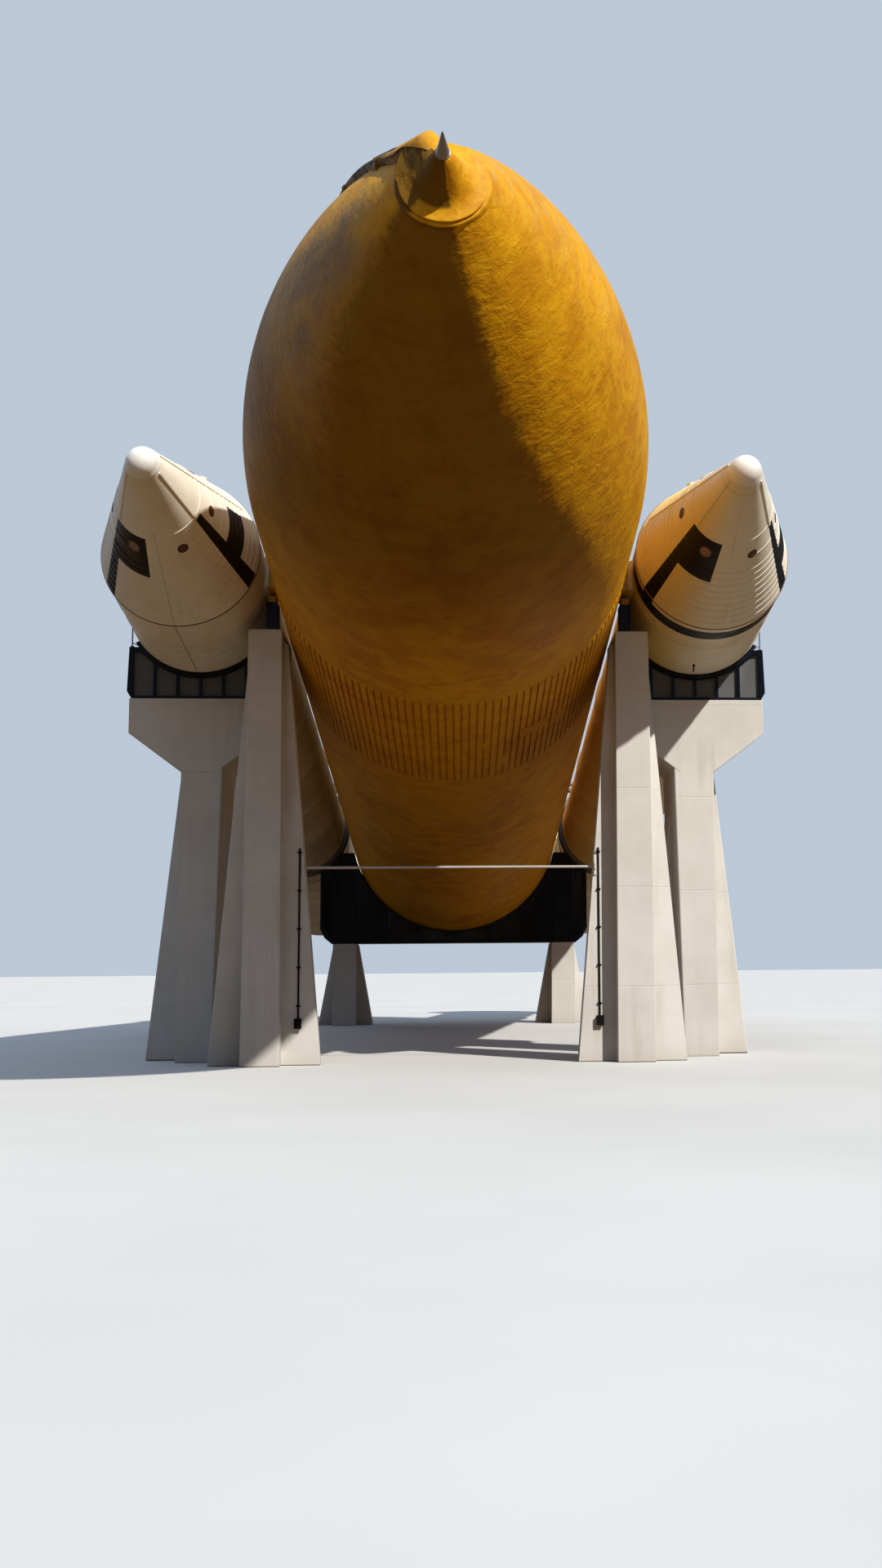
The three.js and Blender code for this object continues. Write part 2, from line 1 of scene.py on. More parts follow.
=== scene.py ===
# Space rocket parked nose-up on concrete piers, a 1:2 model. Looks only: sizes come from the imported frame.
# Lengths in the dictionaries are metres of the full-size rocket; the placing matrices halve them.
from math import cos, hypot, pi, radians, sin, sqrt, tan
from types import SimpleNamespace

import bmesh
import bpy
from mathutils import Matrix, Vector, noise


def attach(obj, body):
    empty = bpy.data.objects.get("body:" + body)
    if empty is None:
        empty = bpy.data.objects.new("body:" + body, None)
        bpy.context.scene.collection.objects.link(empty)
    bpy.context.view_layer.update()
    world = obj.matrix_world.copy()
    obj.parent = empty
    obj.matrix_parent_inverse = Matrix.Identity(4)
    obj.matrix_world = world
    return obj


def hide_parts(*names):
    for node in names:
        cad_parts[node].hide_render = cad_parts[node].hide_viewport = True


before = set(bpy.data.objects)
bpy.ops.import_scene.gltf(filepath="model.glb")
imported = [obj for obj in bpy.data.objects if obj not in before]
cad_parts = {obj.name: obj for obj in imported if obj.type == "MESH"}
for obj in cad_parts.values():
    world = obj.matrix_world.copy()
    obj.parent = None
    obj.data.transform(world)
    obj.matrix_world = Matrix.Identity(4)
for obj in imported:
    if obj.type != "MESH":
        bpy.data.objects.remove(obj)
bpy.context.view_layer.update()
print("stage: frame loaded,", len(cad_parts), "nodes")

modelScale = 0.5
stackTilt = radians(8.3)                      # nose up
stackOrigin = Vector((0, -27.437, 14.29))     # station 0 of the tank above the ground
boosterOffset, boosterTip = 6.363, 10         # a booster's axis beside the tank's, and its tip behind station 0
sideOf = {"left": -1, "right": 1}
groundPlace = Matrix.Scale(modelScale, 4)
stackPlace = groundPlace @ Matrix.Translation(stackOrigin) @ Matrix.Rotation(-stackTilt, 4, "X")
boosterPlace = {side: stackPlace @ Matrix.Translation((sign * boosterOffset, boosterTip, 0))
                for side, sign in sideOf.items()}

bpy.context.scene.view_settings.view_transform = "Standard"


def addObject(name, data):
    thing = bpy.data.objects.new(name, data)
    bpy.context.scene.collection.objects.link(thing)
    return thing


# Camera first, at the photograph's viewing angle
cameraSetup = {"place": (0.126, -24.4825, 1.127), "lens": 35.467, "sensor": 36.0, "shift": -0.0811, "far": 2000}
cameraTurn = Matrix((
    (0.99757079, 0.00079775, -0.06965546),
    (-0.06907095, -0.11843835, -0.99055619),
    (-0.00904009, 0.99296109, -0.11809554),
))


def makeCamera(setup):
    data = bpy.data.cameras.new("photoCamera")
    data.lens, data.sensor_width, data.shift_x = setup["lens"], setup["sensor"], setup["shift"]
    data.clip_end = setup["far"]
    camera = addObject("photoCamera", data)
    camera.matrix_world = Matrix.Translation(setup["place"]) @ cameraTurn.to_4x4()
    bpy.context.scene.camera = camera


makeCamera(cameraSetup)

# Nodes, for materials and for geometry trees alike: each new one goes into the tree that is open
work = {"tree": None}


class Wire:
    # a node's output; adding, multiplying and so on makes one Math node each time
    def __init__(self, socket):
        self.socket = socket

    def __add__(self, other):
        return calc("ADD", self, other)

    def __sub__(self, other):
        return calc("SUBTRACT", self, other)

    def __rsub__(self, other):
        return calc("SUBTRACT", other, self)

    def __mul__(self, other):
        return calc("MULTIPLY", self, other)

    def __truediv__(self, other):
        return calc("DIVIDE", self, other)


def feed(socket, value):
    if isinstance(value, Wire):
        work["tree"].links.new(value.socket, socket)
    elif value is not None:
        socket.default_value = (*value, 1) if socket.type == "RGBA" and len(value) == 3 else value


def addNode(kind, inputs=None, **settings):
    node = work["tree"].nodes.new(kind)
    for key, value in settings.items():
        setattr(node, key, value)
    for key, value in (inputs or {}).items():
        feed(node.inputs[key], value)
    return node


def wire(kind, inputs=None, output=0, family="ShaderNode", **settings):
    return Wire(addNode(family + kind, inputs, **settings).outputs[output])


def geometry(kind, inputs=None, **settings):
    return wire(kind, inputs, family="GeometryNode", **settings)


def calc(operation, *values, clamp=False):
    return wire("Math", dict(enumerate(values)), operation=operation, use_clamp=clamp)


def vectorCalc(operation, *values, output=0):
    return wire("VectorMath", dict(enumerate(values)), output, operation=operation)


def scaled(place, by):
    return vectorCalc("MULTIPLY", place, by)


def vector(*parts):
    return wire("CombineXYZ", dict(enumerate(parts)))


def split(place):
    return [Wire(part) for part in addNode("ShaderNodeSeparateXYZ", {0: place}).outputs]


def mixColor(factor, first, second, blend="MIX"):
    return wire("Mix", {0: factor, 6: first, 7: second}, 2, data_type="RGBA", blend_type=blend)


def layered(tone, *layers):
    for mask, color in layers:
        tone = mixColor(mask, tone, color)
    return tone


def spread(value, low, high, newLow=0.0, newHigh=1.0, smooth=True):
    return wire("MapRange", dict(enumerate((value, low, high, newLow, newHigh))),
                interpolation_type="SMOOTHSTEP" if smooth else "LINEAR")


def cloud(place, scale, detail=4.0, roughness=0.55, distortion=0.0):
    return wire("TexNoise", {
        "Vector": place, "Scale": scale, "Detail": detail, "Roughness": roughness, "Distortion": distortion})


def bevelNormal(radius):
    return wire("Bevel", {"Radius": radius}, samples=4)


def label(name):
    # the name of a socket: halfAngle becomes Half Angle
    return "".join(" " + letter if letter.isupper() else letter for letter in name).title()


def buildTree(kind, name, inputs, maker):
    # a tree with named inputs; the maker gets them as wires and gives back its named outputs
    tree = work["tree"] = bpy.data.node_groups.new(name, kind)
    for key, value in inputs.items():
        socketKind = {float: "Float", int: "Int", str: "Material"}.get(type(value), "Vector")
        if isinstance(value, tuple) and len(value) == 4:
            socketKind = "Color"
        socket = tree.interface.new_socket(label(key), in_out="INPUT", socket_type="NodeSocket" + socketKind)
        if value is not None and socketKind != "Material":
            socket.default_value = value
    given = tree.nodes.new("NodeGroupInput").outputs
    outputs = maker(SimpleNamespace(**{key: Wire(given[label(key)]) for key in inputs}))
    for key in outputs:
        socketKind = key if key in ("Color", "Geometry") else "Float"
        tree.interface.new_socket(key, in_out="OUTPUT", socket_type="NodeSocket" + socketKind)
    end = tree.nodes.new("NodeGroupOutput")
    for key, value in outputs.items():
        feed(end.inputs[key], value)
    return tree


def effectOf(maker, **inputs):
    return buildTree("ShaderNodeTree", maker.__name__, {"place": None, **inputs}, maker)


def use(group, **inputs):
    node = addNode("ShaderNodeGroup", node_tree=group)
    for key, value in inputs.items():
        feed(node.inputs[label(key)], value)
    return {socket.name: Wire(socket) for socket in node.outputs}


def maskOf(group, **inputs):
    return use(group, **inputs)["Mask"]


# Shared effects for the materials

def surfaceGrain(given):
    fine, broad = cloud(given.place, given.size, 5.0), cloud(given.place, given.size * 0.09, 3.0)
    both = fine * 0.5 + broad * 0.5
    return {"Roughness": spread(both, 0.35, 0.65, given.smoothest, given.roughest), "Height": fine}


def edgeWear(given):
    flat = wire("NewGeometry", output="Normal")
    along = vectorCalc("DOT_PRODUCT", bevelNormal(given.reach), flat, output="Value")
    chips = spread(cloud(given.place, given.chips, 5.0), 0.42, 0.6)
    return {"Mask": calc("MULTIPLY", spread(along, 0.995, 0.85) * chips, given.amount, clamp=True)}


def rainStreaks(given):
    stretched = scaled(given.place, vector(given.width, given.width, given.width * given.length))
    runs = spread(cloud(stretched, 1.0, 4.0, 0.6), 0.48, 0.72)
    patches = spread(cloud(given.place, 0.5, 2.0), 0.35, 0.7)
    return {"Mask": calc("MULTIPLY", runs * patches, given.amount, clamp=True)}


def angleFrom(x, z, middle):
    # degrees from a middle angle; turned there first, so that a field can cross the 180 degree line
    turn = calc("RADIANS", middle)
    cosine, sine = calc("COSINE", turn), calc("SINE", turn)
    return calc("DEGREES", calc("ARCTAN2", z * cosine - x * sine, x * cosine + z * sine))


def paintedField(given):
    # a painted field between two stations and round a middle angle
    x, y, z = split(given.place)
    around = spread(given.halfAngle - calc("ABSOLUTE", angleFrom(x, z, given.angle)), -0.12, 0.12)
    ends = [spread(inside, -0.008, 0.008) for inside in (y - given.start, given.end - y)]
    return {"Mask": around * (ends[0] * ends[1])}


def ringLines(given):
    # thin lines at an even spacing of stations
    wave = calc("PINGPONG", given.station + given.shift, given.spacing * 0.5)
    return {"Mask": spread(given.width - wave, -0.004, 0.004)}


underside = {
    # painted shade on the foam's lower side: where it ends, in degrees from its lowest line and degrees for each metre
    # of station; the colour it multiplies by, and the grey of the painted sky sheen on its left rim
    "lowest": -107.0, "ragged": 16.0, "farAngle": 28.0, "farSlope": -4.2, "nearFrom": 3.0, "nearSlope": -7.0,
    "shade": (0.2, 0.19, 0.3), "greyed": (0.21, 0.155, 0.105),
}


def sprayedFoam(given):
    # foam laid on in rows round the tank: rows wander and overlap. The upper side turns grey in dashes, partly
    # rain-faded foam and partly painted sky sheen; the lower side is darkened as painted shade, and its left rim turns
    # grey as painted sky sheen
    x, y, z = split(given.place)

    def sprayed(stretch, *look):
        return cloud(scaled(given.place, stretch), *look)

    blotches = sprayed((1.0, 0.45, 1.0), given.blotchSize, 5.0, 0.6, 0.4)
    mottle = sprayed((0.8, 1.0, 0.8), given.blotchSize * 4.2, 4.0, 0.62, 0.7)
    rows = sprayed((0.62, 1.0, 0.62), given.rowSize, 4.0, 0.6, 0.5)
    smears = sprayed((1.0, 0.3, 1.0), given.rowSize * 0.6, 4.0, 0.6, 0.3)
    fineRows = sprayed((0.4, 1.0, 0.4), given.rowSize * 3.2, 3.0, 0.55, 0.4)
    dashes = sprayed((0.32, 2.0, 0.32), given.rowSize * 1.1, 4.0, 0.65, 0.5)
    peel = cloud(given.place, 30.0, 3.0, 0.6)
    reach = calc("SQRT", x * x + z * z)
    upper = spread(z / calc("MAXIMUM", reach, 0.05), -0.45, 0.35)
    tone = layered(mixColor(spread(blotches, 0.34, 0.58), given.dark, given.middle),
                   (spread(mottle, 0.42, 0.66, 0.0, 0.55), given.pale),
                   (spread(mottle, 0.5, 0.3, 0.0, 0.6), given.dark),
                   (spread(rows, 0.46, 0.34, 0.0, 0.4), given.dark),
                   # upper side grey in short dashes: partly rain-faded foam, partly painted sky sheen
                   (upper * spread(dashes, 0.46, 0.64) * given.wash, given.washed))
    look = underside
    ragged = (fineRows - 0.5) * look["ragged"] + (smears - 0.5) * look["ragged"]
    turn = ragged + angleFrom(x, z, look["lowest"])
    farEdge = y * look["farSlope"] + (turn - look["farAngle"])
    nearEdge = calc("MAXIMUM", y - look["nearFrom"], 0.0) * look["nearSlope"] + (given.leftEdge + turn)
    # painted shade on the lower side: darkened between its far and near edges, but not on the left side nor on the lit
    # shoulder at the nose
    side = spread(nearEdge, 12.0, -12.0) * spread(y, 6.0, 3.6)
    shoulder = spread(y, 0.77, 0.81) * spread(y, 0.93, 0.9) * spread(turn, -32.0, -24.0)
    underShade = spread(farEdge, 4.0, -4.0) * spread(y, 13.0, 6.0) * (1.0 - shoulder) * given.underside
    # painted sky sheen: the left rim of the shaded lower side turns grey
    rim = side * spread(turn, -96.0, -74.0) * underShade * spread(y, 1.1, 2.2) * spread(smears, 0.3, 0.6, 0.6, 1.0)
    tone = mixColor((1.0 - side) * underShade, tone, look["shade"], "MULTIPLY")
    relief = smears * 0.3 + (rows + fineRows * 0.3)
    return {"Color": mixColor(rim, tone, look["greyed"]), "Roughness": spread(peel, 0.3, 0.7, 0.5, 0.72),
            "Height": peel * 0.06 + relief}


white = (1.0, 1.0, 1.0, 1.0)
grainGroup = effectOf(surfaceGrain, size=30.0, smoothest=0.4, roughest=0.6)
wearGroup = effectOf(edgeWear, reach=0.02, amount=0.6, chips=12.0)
streakGroup = effectOf(rainStreaks, width=4.0, length=0.12, amount=0.5)
fieldGroup = effectOf(paintedField, start=0.0, end=1.0, angle=0.0, halfAngle=10.0)
ringGroup = effectOf(ringLines, station=0.0, spacing=1.0, width=0.01, shift=0.0)
foamGroup = effectOf(sprayedFoam, pale=white, middle=white, dark=white, washed=white, blotchSize=0.5, rowSize=3.0,
                     wash=0.5, underside=0.0, leftEdge=43.0)

# Materials
finishes = {}


def startMaterial(name):
    material = finishes[name] = bpy.data.materials.new(name)
    material.use_nodes = True
    work["tree"] = material.node_tree
    return material.node_tree.nodes["Principled BSDF"].inputs


def placeOn(placing):
    # the full-size frame of a shape, from its own coordinates on the model
    location, turn, scale = placing.decompose()
    return wire("Mapping", {
        "Vector": wire("TexCoord", output="Object"), "Location": location, "Rotation": turn.to_euler(),
        "Scale": scale}, vector_type="TEXTURE")


def closeMaterial(shader, tone, roughness, gloss, height, strength, depth, rounding=0.0):
    feed(shader["Base Color"], tone)
    feed(shader["Roughness"], roughness)
    shader["Specular IOR Level"].default_value = gloss
    feed(shader["Normal"], wire("Bump", {
        "Strength": strength, "Distance": depth, "Height": height,
        "Normal": bevelNormal(rounding) if rounding else None}))


foamFinishes = {
    # the foam effect's inputs; strength and depth of the relief; dark lines as from, to, angle, half angle: joint lines
    # on the tank, and on the nose cone a painted shade line along the edge of its shaded side
    "tankFoam": ({"pale": (0.8, 0.43, 0.006), "middle": (0.72, 0.34, 0.001), "dark": (0.55, 0.225, 0.0),
                  "washed": (0.5, 0.34, 0.10), "underside": 0.78, "blotchSize": 0.42, "rowSize": 4.6},
                 (0.6, 0.028), [(4.0, 7.1, -90.0, 0.12), (20.6, 44.0, 64.0, 0.1)]),
    # the lines' foam is darkened almost to black as painted shade, as their sides lie in shade
    "shadedLineFoam": ({"pale": (0.42, 0.24, 0.05), "middle": (0.05, 0.033, 0.018), "dark": (0.016, 0.011, 0.008),
                  "washed": (0.4, 0.3, 0.16), "blotchSize": 1.2, "rowSize": 5.0}, (0.5, 0.03), []),
    # on the hood and nose cone the painted shade reaches further round to the left, for the cone's own shaded side and
    # the hood's shadow on the shoulder
    "hoodFoam": ({"pale": (0.8, 0.43, 0.01), "middle": (0.74, 0.35, 0.002), "dark": (0.58, 0.25, 0.001),
                  "washed": (0.6, 0.42, 0.16), "wash": 0.25, "underside": 0.93, "leftEdge": 120.0,
                  "blotchSize": 1.3, "rowSize": 4.0}, (0.3, 0.03), [(0.21, 0.835, -71.0, 1.1)]),
    # the hood's flank: a darker copy of the hood's foam, painted shade for a face that lies in shade
    "shadedFlankFoam": ({"pale": (0.4, 0.22, 0.015), "middle": (0.22, 0.11, 0.006), "dark": (0.1, 0.05, 0.004),
                   "washed": (0.3, 0.19, 0.05), "wash": 0.3, "blotchSize": 2.0, "rowSize": 5.0}, (0.4, 0.03), []),
}
# brown of the joint lines, and of the painted shade line on the nose cone
seamAndShadeBrown = (0.2, 0.075, 0.002)


def makeFoam(name, look, relief, seams):
    shader, place = startMaterial(name), placeOn(stackPlace)
    foam = use(foamGroup, place=place, **look)
    tone = foam["Color"]
    for start, end, angle, half in seams:
        darkLine = maskOf(fieldGroup, place=place, start=start, end=end, angle=angle, halfAngle=half)
        tone = mixColor(darkLine * spread(cloud(place, 1.1, 3.0), 0.4, 0.6, 0.2, 0.7), tone, seamAndShadeBrown)
    closeMaterial(shader, tone, foam["Roughness"], 0.2, foam["Height"], *relief)


metalFinishes = {
    # base, worn edge, dirt, metallic, smoothest and roughest, grain, wear reach, wear, streaks, gloss
    # black paint whose base is tinted blue: painted reflection of the sky
    "cradlePaint": ((0.003, 0.005, 0.011), (0.03, 0.03, 0.032), (0.014, 0.013, 0.014),
                    0.0, 0.14, 0.24, 14, 0.012, 0.3, 0.2, 0.3),
    # paler grey for the cradles' web plates: painted highlight that stands in for the sun's glossy reflection on black
    # paint
    "webSunGlint": ((0.115, 0.12, 0.122), (0.13, 0.13, 0.13), (0.09, 0.088, 0.085),
                 0.0, 0.4, 0.5, 14, 0.006, 0.2, 0.3, 0.25),
    "steelPaint": ((0.17, 0.18, 0.19), (0.42, 0.41, 0.39), (0.09, 0.07, 0.05),
                   0.35, 0.35, 0.6, 20, 0.01, 0.6, 0.3, 0.5),
    "bareSteel": ((0.62, 0.6, 0.57), (0.7, 0.68, 0.65), (0.35, 0.28, 0.2), 0.45, 0.35, 0.55, 26, 0.006, 0.5, 0.3, 0.5),
    "spikeMetal": ((0.36, 0.36, 0.37), (0.6, 0.59, 0.57), (0.16, 0.13, 0.11),
                   0.75, 0.3, 0.5, 34, 0.004, 0.5, 0.2, 0.5),
    "fittingYellow": ((0.62, 0.36, 0.02), (0.3, 0.27, 0.23), (0.28, 0.16, 0.04),
                      0.0, 0.42, 0.66, 18, 0.008, 0.5, 0.4, 0.5),
    "nozzleBlack": ((0.035, 0.031, 0.028), (0.12, 0.105, 0.09), (0.09, 0.075, 0.06),
                    0.25, 0.5, 0.8, 16, 0.01, 0.4, 0.5, 0.5),
    "capPaint": ((0.9, 0.89, 0.86), (0.6, 0.56, 0.5), (0.6, 0.54, 0.45), 0.0, 0.3, 0.48, 12, 0.01, 0.3, 0.2, 0.5),
    "coverPaint": ((0.72, 0.69, 0.6), (0.4, 0.36, 0.3), (0.42, 0.35, 0.26), 0.0, 0.4, 0.62, 14, 0.01, 0.4, 0.4, 0.5),
    "darkHollow": ((0.006, 0.005, 0.005), (0.02, 0.018, 0.015), (0.015, 0.013, 0.01),
                   0.0, 0.7, 0.9, 14, 0.01, 0.2, 0.2, 0.1),
}


def makeMetal(name, base, worn, dirt, metallic, smoothest, roughest, size, reach, wear, streaks, gloss):
    shader, place = startMaterial(name), placeOn(groundPlace)
    shader["Metallic"].default_value = metallic
    grain = use(grainGroup, place=place, size=size, smoothest=smoothest, roughest=roughest)
    duller = [0.75 * part for part in base]
    tone = layered(mixColor(spread(cloud(place, 0.8, 4.0), 0.3, 0.7, 0.0, 0.3), base, duller),
                   (maskOf(streakGroup, place=place, width=3.0, length=0.1, amount=streaks), dirt),
                   (maskOf(wearGroup, place=place, reach=reach, amount=wear, chips=size), worn))
    closeMaterial(shader, tone, grain["Roughness"], gloss, grain["Height"], 0.18, 0.004, 0.006)


concreteLook = {
    "pale": (0.68, 0.665, 0.635), "warm": (0.61, 0.59, 0.55), "stain": (0.42, 0.37, 0.3), "chipped": (0.84, 0.81, 0.75),
    "grain": 55.0, "liftHeight": 2.4, "wear": 0.4, "poreSize": 16.0,
}


def makeConcrete(name, look):
    shader, place = startMaterial(name), placeOn(groundPlace)
    height, stain = split(place)[2], look["stain"]
    lifts = maskOf(ringGroup, station=height, spacing=look["liftHeight"], width=0.012, shift=0.6)
    pores = wire("TexVoronoi", {"Vector": place, "Scale": look["poreSize"]}, "Distance")
    holes = spread(pores, 0.16, 0.08) * spread(cloud(place, 2.2, 2.0), 0.5, 0.62)
    tone = layered(mixColor(spread(cloud(place, 0.7, 5.0, 0.6), 0.3, 0.7), look["pale"], look["warm"]),
                   (maskOf(streakGroup, place=place, width=3.2, length=0.06, amount=0.4), stain),
                   (lifts * 0.15, stain),
                   (spread(height + cloud(place, 1.4, 3.0), 0.9, 0.4, 0.0, 0.25), stain),
                   (maskOf(wearGroup, place=place, reach=0.02, amount=look["wear"], chips=6.0), look["chipped"]),
                   (holes * 0.5, stain))
    grain = use(grainGroup, place=place, size=look["grain"], smoothest=0.8, roughest=0.97)
    relief = grain["Height"] * 0.4 - holes * 0.8 - lifts * 0.5
    closeMaterial(shader, tone, grain["Roughness"], 0.5, relief, 0.35, 0.01, 0.012)


booster = {
    "radius": 1.854, "slope": tan(radians(18.0)), "coneTip": (0.323, 0.235), "capRadius": 0.34, "capEnd": 0.36,
    "coneEnd": 4.953, "skirtEnd": 8.2, "joints": [16.55, 24.68, 32.8], "ringEnd": 33.5, "motorEnd": 41.58,
    "sides": 144, "pins": 120, "skirtRings": (1.1, 2.1), "post": (6.1, 6.2, 7.1, 7.2), "stiffeners": (35.3, 37.1, 38.9),
    "ridges": {"single": [2.05, 2.6], "from": 3.05, "pitch": 0.215, "width": 0.035, "height": 0.012},
    "strips": [
        # angle, from, to, width, height
        (-150.0, 0.42, 2.12, 0.05, 0.022), (-27.0, 0.42, 2.12, 0.06, 0.026), (152.0, 0.42, 4.6, 0.05, 0.022),
        (33.0, 0.42, 4.6, 0.05, 0.022),
    ],
}


def coneRadius(station):
    radius, start = booster["coneTip"]
    return radius + (station - start) * booster["slope"]


boosterLook = {
    "paint": (0.86, 0.82, 0.72), "aged": (0.76, 0.69, 0.56), "stain": (0.40, 0.31, 0.2), "black": (0.003, 0.003, 0.004),
    "panel": (0.008, 0.004, 0.0035), "brown": (0.13, 0.045, 0.025), "rim": (0.05, 0.025, 0.015),
    "ridgeLineTone": (0.45, 0.35, 0.22), "tankBounceYellow": (0.8, 0.56, 0.12), "onPanel": (0.27, 0.16, 0.13),
    # fields of paint: from, to, middle angle, half angle, colour
    "coneFields": [(2.15, 4.94, -149.0, 6.0, "black"), (2.15, 3.4, -127.0, 22.0, "panel"),
                   (2.15, 4.94, -23.0, 6.0, "black"), (3.42, 4.12, -2.0, 23.0, "black")],
    "coneSeams": {"left": [(1.9, 8.1, -92.0, 0.4), (2.05, 4.95, 92.0, 0.4)],
                  "right": [(0.6, 0.615, -90.0, 120.0), (0.38, 1.85, -152.0, 0.7), (0.62, 2.4, -90.0, 0.35),
                            (2.05, 4.95, 92.0, 0.4)]},
    "skirtFields": {"left": [(4.93, 4.985, 0.0, 190.0, "rim"), (4.96, 8.1, -92.0, 0.5, "stain")],
                    "right": [(4.93, 4.985, 0.0, 190.0, "brown"), (5.2, 5.67, 0.0, 190.0, "black"),
                              (4.94, 5.3, -149.0, 6.0, "black"), (6.3, 6.325, -110.0, 45.0, "stain")]},
    # discs: station, angle, radius, colour
    "discs": [(2.55, -62.0, 0.125, "brown"), (2.57, -2.0, 0.125, "brown"), (2.55, -122.0, 0.16875, "onPanel"),
              (2.55, -182.0, 0.125, "brown"), (2.55, 58.0, 0.125, "brown"), (2.55, 118.0, 0.125, "brown")],
}


def discLayers(place, station, angle, size, color):
    x, y, z = split(place)
    along = y - station
    across = calc("RADIANS", angleFrom(x, z, angle)) * coneRadius(station)
    distance = calc("SQRT", along * along + across * across)
    return [(spread(distance, reach + 0.006, reach - 0.006), tone)
            for reach, tone in ((size, boosterLook["rim"]), (size * 0.78, boosterLook[color]))]


def fieldLayer(place, look, start, end, angle, half, color="stain", strength=None):
    mask = maskOf(fieldGroup, place=place, start=start, end=end, angle=angle, halfAngle=half)
    return (mask * strength if strength else mask), look[color]


def makeBoosterPaint(name, side, part):
    look, ridges = boosterLook, booster["ridges"]
    shader, place = startMaterial(name), placeOn(boosterPlace[side])
    across, station, up = split(place)
    aged = cloud(scaled(place, (1.0, 0.5, 1.0)), 0.9, 5.0, 0.6)
    tone = mixColor(spread(aged, 0.35, 0.7), look["paint"], look["aged"])
    layers = []
    if part != "cone":
        layers.append((maskOf(streakGroup, place=placeOn(groundPlace), width=4.0, length=0.15, amount=0.25),
                       look["stain"]))
    # painted bounce light: on the right booster the side towards the tank turns yellow, as if lit by the tank's foam
    if side == "right":
        layers.append((spread(across, -0.1, -1.15, 0.0, 0.8), look["tankBounceYellow"]))
    if part == "cone":
        rays = cloud(scaled(place, (1.0, 0.06, 1.0)), 5.0, 4.0, 0.6)
        layers.append((spread(rays, 0.5, 0.68) * spread(station, 1.6, 4.6, 0.0, 0.16), look["stain"]))
        # thin darker lines painted along the cone's ridges
        lines = maskOf(ringGroup, station=station, spacing=ridges["pitch"], width=0.006, shift=0.025 - ridges["from"])
        layers.append((lines * spread(station, ridges["from"] - 0.1, ridges["from"], 0.0, 0.6), look["ridgeLineTone"]))
        layers += [fieldLayer(place, look, *field, strength=0.6) for field in look["coneSeams"][side]]
        layers += [fieldLayer(place, look, *field) for field in look["coneFields"]]
        for disc in look["discs"]:
            layers += discLayers(place, *disc)
    if part == "skirt":
        layers += [fieldLayer(place, look, *field) for field in look["skirtFields"][side]]
    grain = use(grainGroup, place=place, size=18.0, smoothest=0.38, roughest=0.62)
    dents = cloud(scaled(place, (1.0, 0.7, 1.0)), 1.6, 3.0)
    relief = grain["Height"] * 0.15 + dents
    closeMaterial(shader, layered(tone, *layers), grain["Roughness"], 0.3, relief, 0.2, 0.02)


for name, look in foamFinishes.items():
    makeFoam(name, *look)
for name, look in metalFinishes.items():
    makeMetal(name, *look)
makeConcrete("pierConcrete", concreteLook)
for side in sideOf:
    for part in ("cone", "skirt", "motor"):
        makeBoosterPaint(side + part.capitalize(), side, part)
print("stage: materials made,", len(finishes))


# Mesh helpers: every shape is a list of corners and a list of faces, in full-size metres

def lathe(points, sides):
    corners, faces, rings = [], [], []
    for radius, station in points:
        count = 1 if radius < 1e-6 else sides
        rings.append(range(len(corners), len(corners) + count))
        corners += [(radius * cos(2 * pi * i / sides), station, radius * sin(2 * pi * i / sides)) if count > 1
                    else (0, station, 0) for i in range(count)]
    for front, back in zip(rings, rings[1:]):
        for i in range(sides if len(front) + len(back) > 2 else 0):
            k = (i + 1) % sides
            if len(front) == 1:
                faces.append((front[0], back[k], back[i]))
            elif len(back) == 1:
                faces.append((front[i], front[k], back[0]))
            else:
                faces.append((front[i], front[k], back[k], back[i]))
    return corners, faces


def block(low, high):
    corners = [(x, y, z) for x in (low[0], high[0]) for y in (low[1], high[1]) for z in (low[2], high[2])]
    return corners, [(0, 1, 3, 2), (4, 6, 7, 5), (0, 4, 5, 1), (2, 3, 7, 6), (0, 2, 6, 4), (1, 5, 7, 3)]


def moved(shape, matrix):
    corners, faces = shape
    return [tuple(matrix @ Vector(corner)) for corner in corners], faces


def turned(shape, degrees):
    return moved(shape, Matrix.Rotation(radians(degrees), 4, "Y"))


def turnedPiece(points, start, direction, sides=24):
    # a turned shape whose axis, +Y, is laid along the direction
    ahead = Vector(direction).normalized()
    across = ahead.cross(Vector((0, 0, 1)))
    if across.length < 1e-5:
        across = Vector((1, 0, 0))
    across.normalize()
    turn = Matrix((across, ahead, across.cross(ahead))).transposed().to_4x4()
    return moved(lathe(points, sides), Matrix.Translation(start) @ turn)


def rod(start, end, radius, sides=20):
    length = (Vector(end) - Vector(start)).length
    return turnedPiece([(0, 0), (radius, 0), (radius, length), (0, length)], start, Vector(end) - Vector(start), sides)


def loft(rings):
    # closed rings of corners joined one to the next, with flat ends
    count = len(rings[0])
    corners = [corner for ring in rings for corner in ring]
    faces = [tuple(range(count)), tuple(reversed(range(len(corners) - count, len(corners))))]
    for i in range(len(rings) - 1):
        for k in range(count):
            j = (k + 1) % count
            faces.append((i * count + k, i * count + j, (i + 1) * count + j, (i + 1) * count + k))
    return corners, faces


def sweep(path, section):
    # a section of (sideways, outward) points carried along a path of (place, outward direction)
    rings = []
    for i, (place, outward) in enumerate(path):
        before, after = path[max(i - 1, 0)][0], path[min(i + 1, len(path) - 1)][0]
        ahead = (Vector(after) - Vector(before)).normalized()
        outward = Vector(outward)
        outward = (outward - ahead * outward.dot(ahead)).normalized()
        across = ahead.cross(outward)
        rings.append([tuple(Vector(place) + across * u + outward * v) for u, v in section])
    return loft(rings)


def steps(start, end, count):
    return [start + (end - start) * i / count for i in range(count + 1)]


def roundSection(radius, sides=16):
    return [(radius * cos(2 * pi * i / sides), radius * sin(2 * pi * i / sides)) for i in range(sides)]


def offset(radius, station, *pairs):
    return [(radius + out, station + along) for out, along in pairs]


